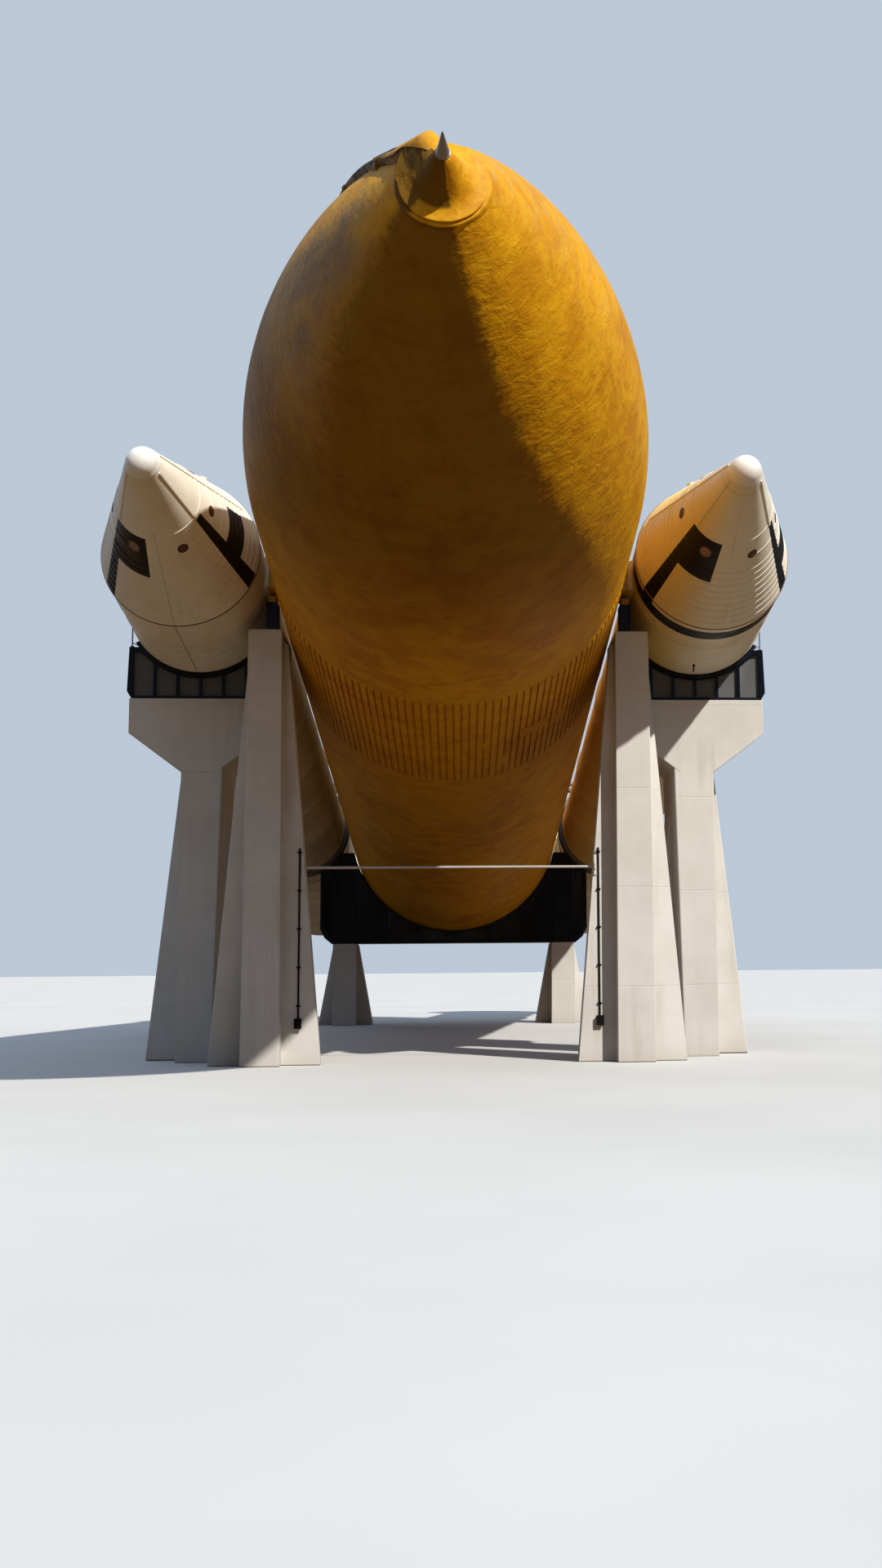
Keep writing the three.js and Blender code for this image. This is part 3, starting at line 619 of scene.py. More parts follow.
def uneven(shape, depth, size, seed=0.0):
    # pushes the corners of a shape about the Y axis in and out, for sprayed foam
    corners, faces = shape
    changed = []
    for x, y, z in corners:
        radius, grow = hypot(x, z), 1
        if radius >= 1e-4:
            push = depth * noise.fractal(Vector((x * size, y * size * 0.6 + seed, z * size)), 0.6, 2.0, 3)
            grow = 1 + push / radius
        changed.append((x * grow, y, z * grow))
    return changed, faces


def cleaned(mesh, flat=0.0):
    net = bmesh.new()
    net.from_mesh(mesh)
    bmesh.ops.remove_doubles(net, verts=net.verts, dist=1e-5)
    if flat:
        bmesh.ops.dissolve_limit(net, angle_limit=radians(flat), verts=net.verts, edges=net.edges)
    else:
        bmesh.ops.recalc_face_normals(net, faces=net.faces)
    net.to_mesh(mesh)
    net.free()
    return mesh


def addMesh(name, mesh, finish, stands=(), body="rocket", smooth=40, bevel=0.0, segments=2, slotName=None):
    mesh.materials.clear()
    mesh.materials.append(finishes[finish])
    mesh.shade_smooth()
    mesh.set_sharp_from_angle(angle=radians(smooth))
    piece = addObject(name, mesh)
    if bevel:
        rounding = piece.modifiers.new("roundedEdges", "BEVEL")
        rounding.width, rounding.segments = bevel, segments
        rounding.limit_method, rounding.angle_limit = "ANGLE", radians(35)
        rounding.harden_normals = True
    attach(piece, body)
    if stands:
        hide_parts(*stands)
    return piece


def addPiece(name, shapes, finish, place=stackPlace, *stands, **more):
    mesh = bpy.data.meshes.new(name)
    corners, faces = [], []
    for shapeCorners, shapeFaces in shapes:
        faces += [tuple(len(corners) + i for i in face) for face in shapeFaces]
        corners += shapeCorners
    mesh.from_pydata(corners, [], faces)
    mesh.transform(place)
    return addMesh(name, cleaned(mesh), finish, stands, **more)


# Geometry trees

def makeTree(maker, **inputs):
    def finished(given):
        solid = geometry("RealizeInstances", {0: maker(given)})
        return {"Geometry": geometry("SetMaterial", {"Geometry": solid, "Material": given.finish})}

    return buildTree("GeometryNodeTree", maker.__name__, {**inputs, "finish": "material"}, finished)


def growMesh(name, tree, finish, place, **values):
    # runs a tree on an empty mesh and returns the plain result, already in its place
    carrier = addObject(name + "Source", bpy.data.meshes.new(name + "Source"))
    modifier = carrier.modifiers.new("tree", "NODES")
    modifier.node_group = tree
    named = {label(key): value for key, value in values.items()}
    named["Finish"] = finishes[finish]
    for item in tree.interface.items_tree:
        if item.in_out == "INPUT" and item.name in named:
            modifier[item.identifier] = named[item.name]
    seen = carrier.evaluated_get(bpy.context.evaluated_depsgraph_get())
    mesh = bpy.data.meshes.new_from_object(seen)
    mesh.name = name
    bpy.data.objects.remove(carrier)
    mesh.transform(place)
    return mesh


def tankShell(given):
    # an ogive that runs into a straight barrel, closed at both ends, with the sprayed foam's slow waves
    grid = geometry("MeshGrid", {
        "Size X": 1.0, "Size Y": 1.0, "Vertices X": given.rings, "Vertices Y": given.sides + 1})
    x, y, z = split(geometry("InputPosition"))
    last = given.rings - 1
    ring = calc("ROUND", (x + 0.5) * last)
    share = calc("DIVIDE", ring - 1, last - 2, clamp=True)
    station = share * (given.back - given.front) + given.front
    ahead = calc("MAXIMUM", given.straightFrom - station, 0.0)
    squares = calc("POWER", given.ogiveRadius, 2.0) - calc("POWER", ahead, 2.0)
    radius = calc("SQRT", squares) - given.inset
    angle = (y + 0.5) * (2 * pi)
    cosine, sine = calc("COSINE", angle), calc("SINE", angle)
    spot = vector(cosine * radius, station * 0.45 + given.seed, sine * radius)
    waves = cloud(spot, given.foamSize, 3.0, 0.55, 0.8) - 0.5
    edge = calc("GREATER_THAN", ring, 0.5) * calc("LESS_THAN", ring, last - 0.5)
    skin = (waves * given.foamDepth + radius) * edge
    outward = scaled(vector(cosine, 0.0, sine), vector(skin, skin, skin))
    place = vectorCalc("ADD", outward, vector(0.0, station, 0.0))
    shaped = geometry("SetPosition", {"Geometry": grid, "Position": place})
    return geometry("MergeByDistance", {"Geometry": shaped, "Distance": 0.0005})


def copiesOf(part, count, rotation, place=None):
    points = geometry("Points", {"Count": count, "Position": (0, 0, 0)})
    if place:
        points = geometry("SetPosition", {"Geometry": points, "Position": place})
    return geometry("InstanceOnPoints", {"Points": points, "Instance": part, "Rotation": rotation})


def ribbedBand(given):
    # hat-shaped stringers side by side round a drum
    start, end = (vector(given.radius, station, 0.0) for station in (given.front, given.back))
    line = geometry("CurvePrimitiveLine", {"Start": start, "End": end})
    line = geometry("ResampleCurve", {"Curve": line, "Count": given.steps})
    line = geometry("SetCurveTilt", {"Curve": line, "Tilt": pi / 2})
    hat = geometry("CurvePrimitiveQuadrilateral", {
        "Bottom Width": given.foot, "Top Width": given.top, "Height": given.height * 2.0, "Offset": 0.0,
    }, mode="TRAPEZOID")
    rib = geometry("CurveToMesh", {"Curve": line, "Profile Curve": hat, "Fill Caps": True})
    turn = geometry("InputIndex") / given.count * (2 * pi)
    solid = geometry("RealizeInstances", {0: copiesOf(rib, given.count, vector(0.0, turn, 0.0))})
    here = geometry("InputPosition")
    y = split(here)[1]
    fromEnd = calc("MINIMUM", y - given.front, given.back - y)
    sunk = spread(fromEnd / given.fade, 0.0, 1.0, 1.15, 0.0)
    outward = vectorCalc("NORMALIZE", scaled(here, (1.0, 0.0, 1.0)))
    drop = sunk * given.height * -1.0
    sinking = scaled(outward, vector(drop, drop, drop))
    solid = geometry("SetPosition", {"Geometry": solid, "Offset": sinking})
    wander = wire("TexNoise", {"Vector": here, "Scale": 1.7, "Detail": 3.0}, "Color")
    centred = vectorCalc("SUBTRACT", wander, (0.5, 0.5, 0.5))
    depth = vector(given.foamDepth, 0.0, given.foamDepth)
    return geometry("SetPosition", {"Geometry": solid, "Offset": scaled(centred, depth)})


def boltHead(given, wide, thick):
    # a hexagon on a round washer
    bolt = addNode("GeometryNodeJoinGeometry")
    for corners, grow, tall in ((6, 1, 1), (12, wide, thick)):
        feed(bolt.inputs[0], geometry("MeshCylinder", {
            "Vertices": corners, "Radius": given.head * grow, "Depth": given.height * tall}))
    return Wire(bolt.outputs[0])


def boltRing(given):
    # bolt heads standing out from a ring about the Y axis
    bolt = boltHead(given, 1.45, 0.5)
    standing = geometry("Transform", {
        "Geometry": bolt, "Translation": vector(given.radius, given.station, 0.0), "Rotation": (0, pi / 2, 0)})
    share = geometry("InputIndex") / given.count
    turn = calc("RADIANS", share * given.sweep + given.firstAngle)
    return copiesOf(standing, given.count, vector(0.0, turn * -1.0, 0.0))


def boltRow(given):
    # bolt heads in a row, pointing along -Y at zero turn
    index = geometry("InputIndex")
    stepping = scaled(given.step, vector(index, index, index))
    return copiesOf(boltHead(given, 1.5, 0.4), given.count, given.turn, vectorCalc("ADD", stepping, given.start))


tankShellTree = makeTree(tankShell, front=0.84, back=13.47, ogiveRadius=15.545, inset=11.341, straightFrom=10.72,
                         rings=120, sides=240, foamDepth=0.02, foamSize=2.0, seed=0.0)
ribbedBandTree = makeTree(ribbedBand, front=13.8, back=20.2, radius=4.18, count=144, foot=0.12, top=0.08, height=0.04,
                          steps=20, fade=0.7, foamDepth=0.012)
boltRingTree = makeTree(boltRing, count=60, radius=1.0, station=0.0, head=0.02, height=0.015, firstAngle=0.0,
                        sweep=360.0)
boltRowTree = makeTree(boltRow, count=8, start=(0, 0, 0), step=(0.1, 0, 0), head=0.02, height=0.015,
                       turn=(pi / 2, 0, 0))
print("stage: trees made")

# Tank
tank = {
    "radius": 4.204, "ogiveRadius": 15.545, "inset": 11.341, "ogiveEnd": 10.72, "front": 0.95,
    "intertankFront": 13.47, "intertankBack": 20.5, "hydrogenBack": 44.08, "domeBack": 47.0,
    "foamDepth": 0.022, "foamSize": 1.1, "sides": 256,
}


def tankSkin(station):
    if station >= tank["ogiveEnd"]:
        return tank["radius"]
    return sqrt(tank["ogiveRadius"] ** 2 - (tank["ogiveEnd"] - station) ** 2) - tank["inset"]


def addShell(name, front, back, rings, node, seed):
    mesh = growMesh(name, tankShellTree, "tankFoam", stackPlace, front=front, back=back, rings=rings,
                    sides=tank["sides"], seed=seed, foamDepth=tank["foamDepth"], foamSize=tank["foamSize"])
    addMesh(name, cleaned(mesh), "tankFoam", [node])


def addDome(sides=160, count=26):
    radius, start, depth = tank["radius"] + 0.004, tank["hydrogenBack"], tank["domeBack"] - tank["hydrogenBack"]
    points = [(0, start - 0.3), (radius, start - 0.3)]
    for i in range(count + 1):
        turn = pi / 2 * i / count
        points.append((radius * cos(turn) if i < count else 0, start + depth * sin(turn)))
    addPiece("hydrogenDome", [uneven(lathe(points, sides), 0.012, 1.3)], "tankFoam")


addShell("oxygenTank", tank["front"], tank["intertankFront"], 130, "tank_oxygen_section", 0.0)
addShell("hydrogenTank", tank["intertankBack"], tank["hydrogenBack"], 150, "tank_hydrogen_section", 7.0)
addDome()

nose = {
    # radius and station down each outline
    "cone": [(0, 0.2), (0.118, 0.2), (0.135, 0.214), (0.2, 0.335), (0.3, 0.52), (0.37, 0.638), (0.42, 0.71),
             (0.47, 0.764), (0.53, 0.804), (0.6, 0.828), (0.66, 0.839), (0.688, 0.844), (0.7, 0.85), (0.702, 0.855),
             (0.695, 0.86), (0.655, 0.863), (0.655, 0.93), (0, 0.93)],
    "lip": [(0, 0.886), (0.655, 0.886), (0.7, 0.884), (0.718, 0.888), (0.736, 0.898), (0.747, 0.913), (0.752, 0.932),
            (0.758, 0.955), (0.768, 0.975), (0.762, 0.99), (0, 0.99)],
    "spike": [(0, -0.3), (0.007, -0.298), (0.013, -0.287), (0.1, 0.142), (0.103, 0.15), (0.103, 0.16), (0.111, 0.163),
              (0.113, 0.168), (0.113, 0.202), (0, 0.202)],
    "sides": 144, "spikeSides": 48,
}
addPiece("noseCone", [uneven(lathe(nose["cone"], nose["sides"]), 0.006, 4.0)], "hoodFoam", stackPlace,
         "tank_nose_cone", smooth=50)
addPiece("ogiveLip", [uneven(lathe(nose["lip"], nose["sides"]), 0.008, 3.0)], "hoodFoam", smooth=50)
addPiece("noseSpike", [lathe(nose["spike"], nose["spikeSides"])], "spikeMetal", stackPlace, "tank_spike", smooth=30)

intertank = {"ribs": 144, "pitchShare": 0.56, "height": 0.042, "fade": 0.4, "valley": -0.026, "rings": 40}


def addIntertank(look):
    front, back, valley = tank["intertankFront"], tank["intertankBack"], look["valley"]
    radius, width = tank["radius"], 2 * pi * tank["radius"] / look["ribs"] * look["pitchShare"]
    ribs = growMesh("intertankRibs", ribbedBandTree, "tankFoam", stackPlace, front=front + 0.02, back=back - 0.02,
                    radius=radius + valley, count=look["ribs"], foot=width * 1.25, top=width * 0.75,
                    height=look["height"], steps=60, fade=look["fade"])
    addMesh("intertankRibs", cleaned(ribs), "tankFoam", ["tank_intertank"], smooth=60)
    drum, rings = [(0, front + 0.005)], look["rings"]
    for i in range(rings + 1):
        sink = min(1, min(i, rings - i) / rings * (back - front) / look["fade"])
        drum.append((radius + valley * sink * sink * (3 - 2 * sink),
                     front + 0.005 + (back - front - 0.01) * i / rings))
    drum.append((0, back - 0.005))
    addPiece("intertankDrum", [uneven(lathe(drum, 288), 0.008, 1.5, 3.0)], "tankFoam")


addIntertank(intertank)

repairs = [
    # sprayed patches: from and to angle, front and back station, height
    (-65.5, -60, 16.8, 17.5, 0.05), (-60.5, -54, 16.85, 17.6, 0.055), (-51.5, -46, 17.2, 17.9, 0.05),
    (-72, -69, 18.6, 19.3, 0.035), (-80, -78, 17.0, 17.4, 0.03),
]


def patchOf(start, end, front, back, height, count=12):
    # a lump of foam with soft edges, closed underneath
    rings = []
    for i in range(count + 1):
        u, angle, top, bottom = 2 * i / count - 1, radians(start + (end - start) * i / count), [], []
        for k in range(count + 1):
            v, station = 2 * k / count - 1, front + (back - front) * k / count
            swell = max(0, (1 - abs(u) ** 3) * (1 - abs(v) ** 3)) ** 0.6
            bumps = 0.6 + 0.8 * abs(noise.fractal(Vector((angle * 12, station * 3, 1.0)), 0.6, 2.0, 3))
            for row, radius in ((top, tank["radius"] + height * swell * bumps), (bottom, tank["radius"] - 0.03)):
                row.append((radius * cos(angle), station, radius * sin(angle)))
        rings.append(top + bottom[::-1])
    return loft(rings)


addPiece("foamRepairs", [patchOf(*spot) for spot in repairs], "tankFoam", smooth=60)

domeFittings = {
    "plate": [(0, -0.25), (0.5, -0.25), (0.5, 0.02), (0.46, 0.05), (0.4, 0.05), (0.38, 0.035), (0.1, 0.04),
              (0.08, 0.075), (0, 0.075)],
    "covers": [(1.35, -0.4, 0.62), (-1.5, 0.5, 0.62), (0.2, 1.9, 0.4)],    # x, z and size
}


def addDomeFittings(look):
    start, end = tank["hydrogenBack"], tank["domeBack"]
    shapes = [turnedPiece(look["plate"], (0, end, 0), (0, 1, 0), 48)]
    for x, z, size in look["covers"]:
        depth = (end - start) * sqrt(1 - (x * x + z * z) / tank["radius"] ** 2)
        plate = [(r * size, y) for r, y in look["plate"]]
        shapes.append(turnedPiece(plate, (x, start + depth, z), (x * 0.3, 1, z * 0.3), 40))
    addPiece("domeCovers", shapes, "shadedLineFoam")


addDomeFittings(domeFittings)

# Lines along the tank, on one meridian near the top
lines = {
    "angle": 121.5, "end": 40.9,
    "oxygenTray": {"from": 1.5, "to": 13.32, "height": 0.1, "width": 0.22, "sideways": 0.27, "strap": 2.3,
                   "bend": 0.45},
    "hydrogenTray": {"from": 20.8, "to": 40.9, "height": 0.17, "width": 0.3, "sideways": 0.42, "strap": 1.5,
                     "bend": 2},
    "pressure": {"height": 0.085, "radius": 0.045, "bracket": 2.3, "sideways": 0, "from": 1.55, "bracketsFrom": 2.6,
                 "bends": (10.72, 11.4)},
    "feed": {"radius": 0.216, "height": 0.28, "sideways": 1.15, "from": 21, "flange": 4.1, "flangesFrom": 20.6,
             "yokes": (23, 40.4, 6),
             # station and drop of the elbow at the front
             "elbow": [(18.85, -0.75), (18.86, -0.5), (18.9, -0.3), (19.0, -0.14), (19.25, -0.03), (19.6, 0),
                       (20.2, 0)]},
}
meridian = Matrix.Rotation(-radians(lines["angle"]), 4, "Y")
lineOut = meridian @ Vector((1, 0, 0))


def overSkin(look, stations, height=0):
    # a path over the skin, beside the meridian of the lines
    return [(meridian @ Vector((tankSkin(s) + height, s, look["sideways"])), lineOut) for s in stations]


def bandAt(look, station, reach, section, height=0):
    return sweep(overSkin(look, (station - reach, station + reach), height), section)


def addTray(name, node, look):
    half, top, start, end = look["width"] / 2, look["height"], look["from"], look["to"]
    section = [(-half, -0.12), (half, -0.12), (half, top - 0.02), (half - 0.02, top), (-half + 0.02, top),
               (-half, top - 0.02)]
    strap = [(u * 1.22, v * 1.12 + 0.004) for u, v in section]
    feet = [(-half - 0.1, -0.1), (half + 0.1, -0.1), (half + 0.07, 0.035), (-half - 0.07, 0.035)]
    bends = steps(start, end, max(2, int((end - start) / look["bend"])))
    shapes = [sweep(overSkin(look, bends), section)]
    for s in steps(start + 0.35, end - 0.3, int((end - start) / look["strap"])):
        shapes += [bandAt(look, s, 0.045, strap), bandAt(look, s, 0.09, feet)]
    addPiece(name, shapes, "shadedLineFoam", stackPlace, node, bevel=0.004)


def addPressureLine(look):
    height, end, (before, after) = look["height"], lines["end"], look["bends"]
    pipe = steps(look["from"], before, 30) + steps(after, end, 30)
    foot = [(-0.06, -0.12), (0.06, -0.12), (0.045, height), (-0.045, height)]
    shapes = [sweep(overSkin(look, pipe, height), roundSection(look["radius"], 14))]
    first, last = look["bracketsFrom"], end - 0.3
    for s in steps(first, last, int((last - first) / look["bracket"])):
        shapes += [bandAt(look, s, 0.05, foot), bandAt(look, s, 0.03, roundSection(look["radius"] * 1.3, 14), height)]
    addPiece("pressureLine", shapes, "shadedLineFoam", stackPlace, "pressure_line")


def addFeedline(look):
    top, end = look["height"], lines["end"]
    path = [spot for s, lift in look["elbow"] for spot in overSkin(look, [s], top + lift)]
    path += overSkin(look, steps(look["from"], end, 12), top)
    path[0] = (path[0][0], lineOut - meridian @ Vector((0, 0.9, 0)))
    shapes = [sweep(path, roundSection(look["radius"], 28))]
    for s in steps(look["flangesFrom"], end - 0.12, int((end - look["flangesFrom"] - 0.1) / look["flange"])):
        for middle, grow in ((-0.115, 1.1), (-0.025, 1.18), (0.065, 1.1)):
            shapes.append(bandAt(look, s + middle, 0.025, roundSection(look["radius"] * grow, 28), top))
    yoke = [(-0.2, -0.15), (0.2, -0.15), (0.26, 0.12), (0.2, 0.22), (-0.2, 0.22), (-0.26, 0.12)]
    shapes += [bandAt(look, s, 0.1, yoke) for s in steps(*look["yokes"])]
    addPiece("oxygenFeedline", shapes, "shadedLineFoam", stackPlace, "oxygen_feedline")


addTray("oxygenTray", "oxygen_cable_tray", lines["oxygenTray"])
addTray("hydrogenTray", "hydrogen_cable_tray", lines["hydrogenTray"])
addPressureLine(lines["pressure"])
addFeedline(lines["feed"])

# Hood over the front end of the lines: a blunt ridge, a shoulder with a lip, a flank that spreads on the cone
hood = {
    "rings": [
        # station, ridge radius, ridge from, ridge to, lip across, lip radius, foot across, foot radius
        (0.42, 0.36, -0.10, 0.04, 0.09, 0.33, 0.13, 0.20),
        (0.46, 0.61, -0.19, 0.05, 0.13, 0.42, 0.17, 0.20),
        (0.52, 0.68, -0.23, 0.06, 0.16, 0.50, 0.22, 0.20),
        (0.61, 0.735, -0.25, 0.07, 0.20, 0.62, 0.29, 0.24),
        (0.74, 0.82, -0.26, 0.08, 0.26, 0.76, 0.42, 0.32),
        (0.85, 0.895, -0.26, 0.08, 0.305, 0.825, 0.61, 0.44),
        (0.88, 0.91, -0.26, 0.08, 0.32, 0.84, 0.325, 0.60),
        (1.05, 1.025, -0.25, 0.09, 0.36, 0.92, 0.365, 0.70),
        (1.28, 1.175, -0.22, 0.10, 0.39, 1.085, 0.395, 0.85),
        (1.49, 1.315, -0.17, 0.10, 0.39, 1.25, 0.395, 0.95),
    ],
    "rounding": 0.02, "lipFold": 0.016, "root": 0.02,
}


def addHood(look):
    rings, flank, fold, root = [], [], look["lipFold"], look["root"]
    for station, ridge, start, end, lipSide, lip, footSide, foot in look["rings"]:
        section = [
            (root, start), (ridge * 0.75, start), (ridge - 0.05, start + 0.03), (ridge, start + 0.09),
            (ridge, end - 0.05), (ridge - 0.025, end), (lip + fold, lipSide - fold), (lip, lipSide),
            (lip - fold, lipSide - fold * 0.6), (lip - fold * 2.5, lipSide - fold * 3), (root, lipSide * 0.5),
        ]
        panel = [(root, 0.0), (lip - fold, 0.0), (lip - fold, lipSide - fold), (foot, footSide), (root, footSide)]
        for outlines, points in ((rings, section), (flank, panel)):
            outlines.append([tuple(meridian @ Vector((radius, station, across))) for radius, across in points])
    # the flank takes the darker foam as painted shade
    addPiece("hoodFlank", [loft(flank)], "shadedFlankFoam")
    addPiece("noseHood", [loft(rings)], "hoodFoam", stackPlace, "nose_fairing", bevel=look["rounding"] * modelScale)


addHood(hood)
print("stage: tank made")


# Boosters

def nodeOf(name):
    # leftNoseCap stands for the node left_nose_cap
    return "".join("_" + letter.lower() if letter.isupper() else letter for letter in name)


def addPart(side, name, shapes, finish=None, node=True, **more):
    stands = [nodeOf(side + name)] if node is True else [side + "_" + node] if node else []
    return addPiece(side + name, shapes, finish or side + "Motor", boosterPlace[side], *stands, **more)


def capPoints(look):
    radius, end = look["capRadius"], look["capEnd"]
    turns = [radians(72 * i / 12) for i in range(1, 13)]
    return [(0, 0), *((radius * sin(turn), radius - radius * cos(turn)) for turn in turns),
            (coneRadius(end - 0.03) + 0.004, end - 0.03), (coneRadius(end) + 0.006, end - 0.006),
            (coneRadius(end) - 0.004, end - 0.002), (0, end - 0.002)]


def coneShapes(look):
    ridges, start, end = look["ridges"], look["capEnd"], look["coneEnd"]
    count = int((end - 0.08 - ridges["from"]) / ridges["pitch"])
    half, height = ridges["width"] / 2, ridges["height"]
    points = [(0, start), (coneRadius(start), start)]
    for s in ridges["single"] + [ridges["from"] + ridges["pitch"] * i for i in range(count + 1)]:
        points += [(coneRadius(s - half), s - half), (coneRadius(s) + height, s - half * 0.4),
                   (coneRadius(s) + height, s + half * 0.4), (coneRadius(s + half), s + half)]
    points += [(coneRadius(end), end - 0.002), (0, end - 0.002)]
    shapes = [lathe(points, look["sides"])]
    for angle, start, end, width, height in look["strips"]:
        path = [((coneRadius(s), s, 0), (1, 0, 0)) for s in steps(start, end, 6)]
        section = [(-width / 2, -0.02), (width / 2, -0.02), (width * 0.4, height), (-width * 0.4, height)]
        shapes.append(turned(sweep(path, section), -angle))
    return shapes


def addForwardSkirt(side, look):
    front, back, radius = look["coneEnd"], look["skirtEnd"], look["radius"]
    points = [(0, front), *offset(radius, front, (-0.005, 0), (0.014, 0.01), (0.014, 0.07), (0, 0.085))]
    for s in look["skirtRings"]:
        points += offset(radius, front + s, (0, 0), (0.008, 0.008), (0.008, 0.05), (0, 0.058))
    points += [*offset(radius, back, (0, -0.12), (0.016, -0.1), (0.016, -0.005)), (0, back - 0.005)]
    post = sweep([((0, s, 0), (-sideOf[side], 0, 0)) for s in look["post"]],
                 [(-0.42, radius - 0.1), (0.42, radius - 0.1), (0.36, radius + 0.075), (-0.36, radius + 0.075)])
    addPart(side, "ForwardSkirt", [lathe(points, look["sides"]), post], side + "Skirt")


drainPipe = {"ends": [(-94.4, 7.5), (-92.4, 8.06)], "radius": 0.018, "mouth": 0.032}    # ends: angle and station


def addDrainPipe(look, radius):
    start, end = [Vector((radius * cos(radians(a)), s, radius * sin(radians(a)))) for a, s in look["ends"]]
    mouth = rod(start, start + Vector((0, 0.05, -0.03)), look["mouth"], 12)
    addPart("right", "DrainPipe", [rod(start, end, look["radius"], 12), mouth], "darkHollow", None)


def addMotors(side, look):
    radius, sides, starts = look["radius"], look["sides"], [look["skirtEnd"], *look["joints"]]
    for i, node in enumerate(("motor_forward", "motor_centre_forward", "motor_centre_aft")):
        start, end, name = starts[i], starts[i + 1], "Motor" + str(i + 1)
        points = [(0, start), *offset(radius, start, (0.01, 0), (0.01, 0.08), (0, 0.1)),
                  *offset(radius, (start + end) / 2, (0, -0.06), (0.012, -0.045), (0.012, 0.045), (0, 0.06)),
                  *offset(radius, end, (0, -0.36), (0.028, -0.33), (0.03, -0.2), (0.022, -0.185), (0.022, -0.165),
                          (0.03, -0.15), (0.03, -0.003)), (0, end - 0.003)]
        addPart(side, name, [lathe(points, sides)], node=node)
        pins = growMesh(side + name + "Pins", boltRingTree, "bareSteel", boosterPlace[side], count=look["pins"],
                        radius=radius + 0.03, station=end - 0.26, head=0.016, height=0.02)
        addMesh(side + name + "Pins", pins, "bareSteel", smooth=30)

    start, end, motorEnd = look["joints"][-1], look["ringEnd"], look["motorEnd"]
    ring = [(0, start), *offset(0, start, (2.02, 0), (2.02, 0.09), (1.9, 0.12), (1.89, 0.16)),
            *offset(0, end, (1.89, -0.16), (1.9, -0.12), (2.02, -0.09), (2.02, -0.003), (0, -0.003))]
    addPart(side, "AttachRing", [lathe(ring, sides)], "steelPaint")
    points = [(0, end), (radius, end)]
    for s in look["stiffeners"]:
        points += offset(radius, s, (0, 0), (0.05, 0.01), (0.05, 0.07), (0, 0.08))
    points += [*offset(radius, motorEnd, (0, -0.1), (0.012, -0.09), (0.012, -0.003)), (0, motorEnd - 0.003)]
    addPart(side, "MotorAft", [lathe(points, sides)])


separation = {
    "radius": 0.09,
    # radius and length of a thruster's shell and throat, the radius as a share
    "shell": [(0, 0), (1.25, 0), (1.25, 0.12), (1, 0.15), (1, 0.2), (0.8, 0.2), (0.7, 0.1), (0, 0.1)],
    "throat": [(0, 0.1), (0.69, 0.102), (0.69, 0.112), (0, 0.11)],
    # station, reach from the axis, angles from the top towards the outside, lean towards the tail
    "groups": [(4.25, 1.63, (-20, -10, 10, 20), -18), (42.9, 2.36, (20, 30, 40, 50), -20)],
}


def addSeparationMotors(side, look):
    # rows of short thrusters with dark throats, on the cone and on the aft skirt
    for name, outline, finish in (("Motors", "shell", side + "Motor"), ("Throats", "throat", "darkHollow")):
        points = [(r * look["radius"], y) for r, y in look[outline]]
        shapes = []
        for station, reach, angles, lean in look["groups"]:
            ahead = (cos(radians(lean)), sin(radians(lean)), 0)
            thruster = turnedPiece(points, (reach - 0.12, station, 0), ahead, 20)
            shapes += [turned(thruster, -(90 + sideOf[side] * angle)) for angle in angles]
        addPart(side, "Separation" + name, shapes, finish, None)


aftSkirt = {
    "radius": 2.644, "end": 43.96, "ribs": 36, "legs": (45, 135, 225, 315),
    "inside": [(2.2, 42.98), (1.76, 42.12), (1.7, 42.1), (0, 42.1)],
}
nozzlePivot = 42.6    # station where the two hinge axes of a nozzle cross


def addAftSkirt(side, look):
    start, radius, end, wide = booster["motorEnd"], booster["radius"], look["end"], look["radius"]
    points = [(0, start), (radius + 0.01, start), (radius + 0.04, start + 0.1)]
    for i in range(1, 9):
        points.append((radius + 0.04 + (wide - radius - 0.04) * i / 9, start + 0.1 + (end - 0.22 - start) * i / 9))
    points += [(wide - 0.01, end - 0.12), (wide, end - 0.1), (wide, end), (wide - 0.14, end), (wide - 0.15, end - 0.1)]
    shapes = [lathe(points + look["inside"], booster["sides"])]
    rib = []
    for r, s, shift in ((radius + 0.03, start + 0.25, 0.05), (wide - 0.05, end - 0.16, -0.02)):
        rib += [(r - 0.05, s, -0.025), (r - 0.05, s, 0.025), (r + 0.035, s + shift, 0.02),
                (r + 0.035, s + shift, -0.02)]
    faces = [(0, 1, 2, 3), (7, 6, 5, 4), (0, 4, 5, 1), (1, 5, 6, 2), (2, 6, 7, 3), (3, 7, 4, 0)]
    shapes += [turned((rib, faces), 360 / look["ribs"] * (i + 0.5)) for i in range(look["ribs"])]
    shapes += [block((x - 0.1, 42.0, -0.12), (x + 0.1, nozzlePivot + 0.14, 0.12)) for x in (-0.92, 0.92)]
    foot = [block((2.3, 43.3, -0.28), (2.74, end, 0.28))]
    foot += [block((2.2, 42.7, z - 0.03), (2.7, 43.32, z + 0.03)) for z in (-0.2, 0.2)]
    shapes += [turned(shape, angle) for angle in look["legs"] for shape in foot]
    addPart(side, "AftSkirt", shapes)


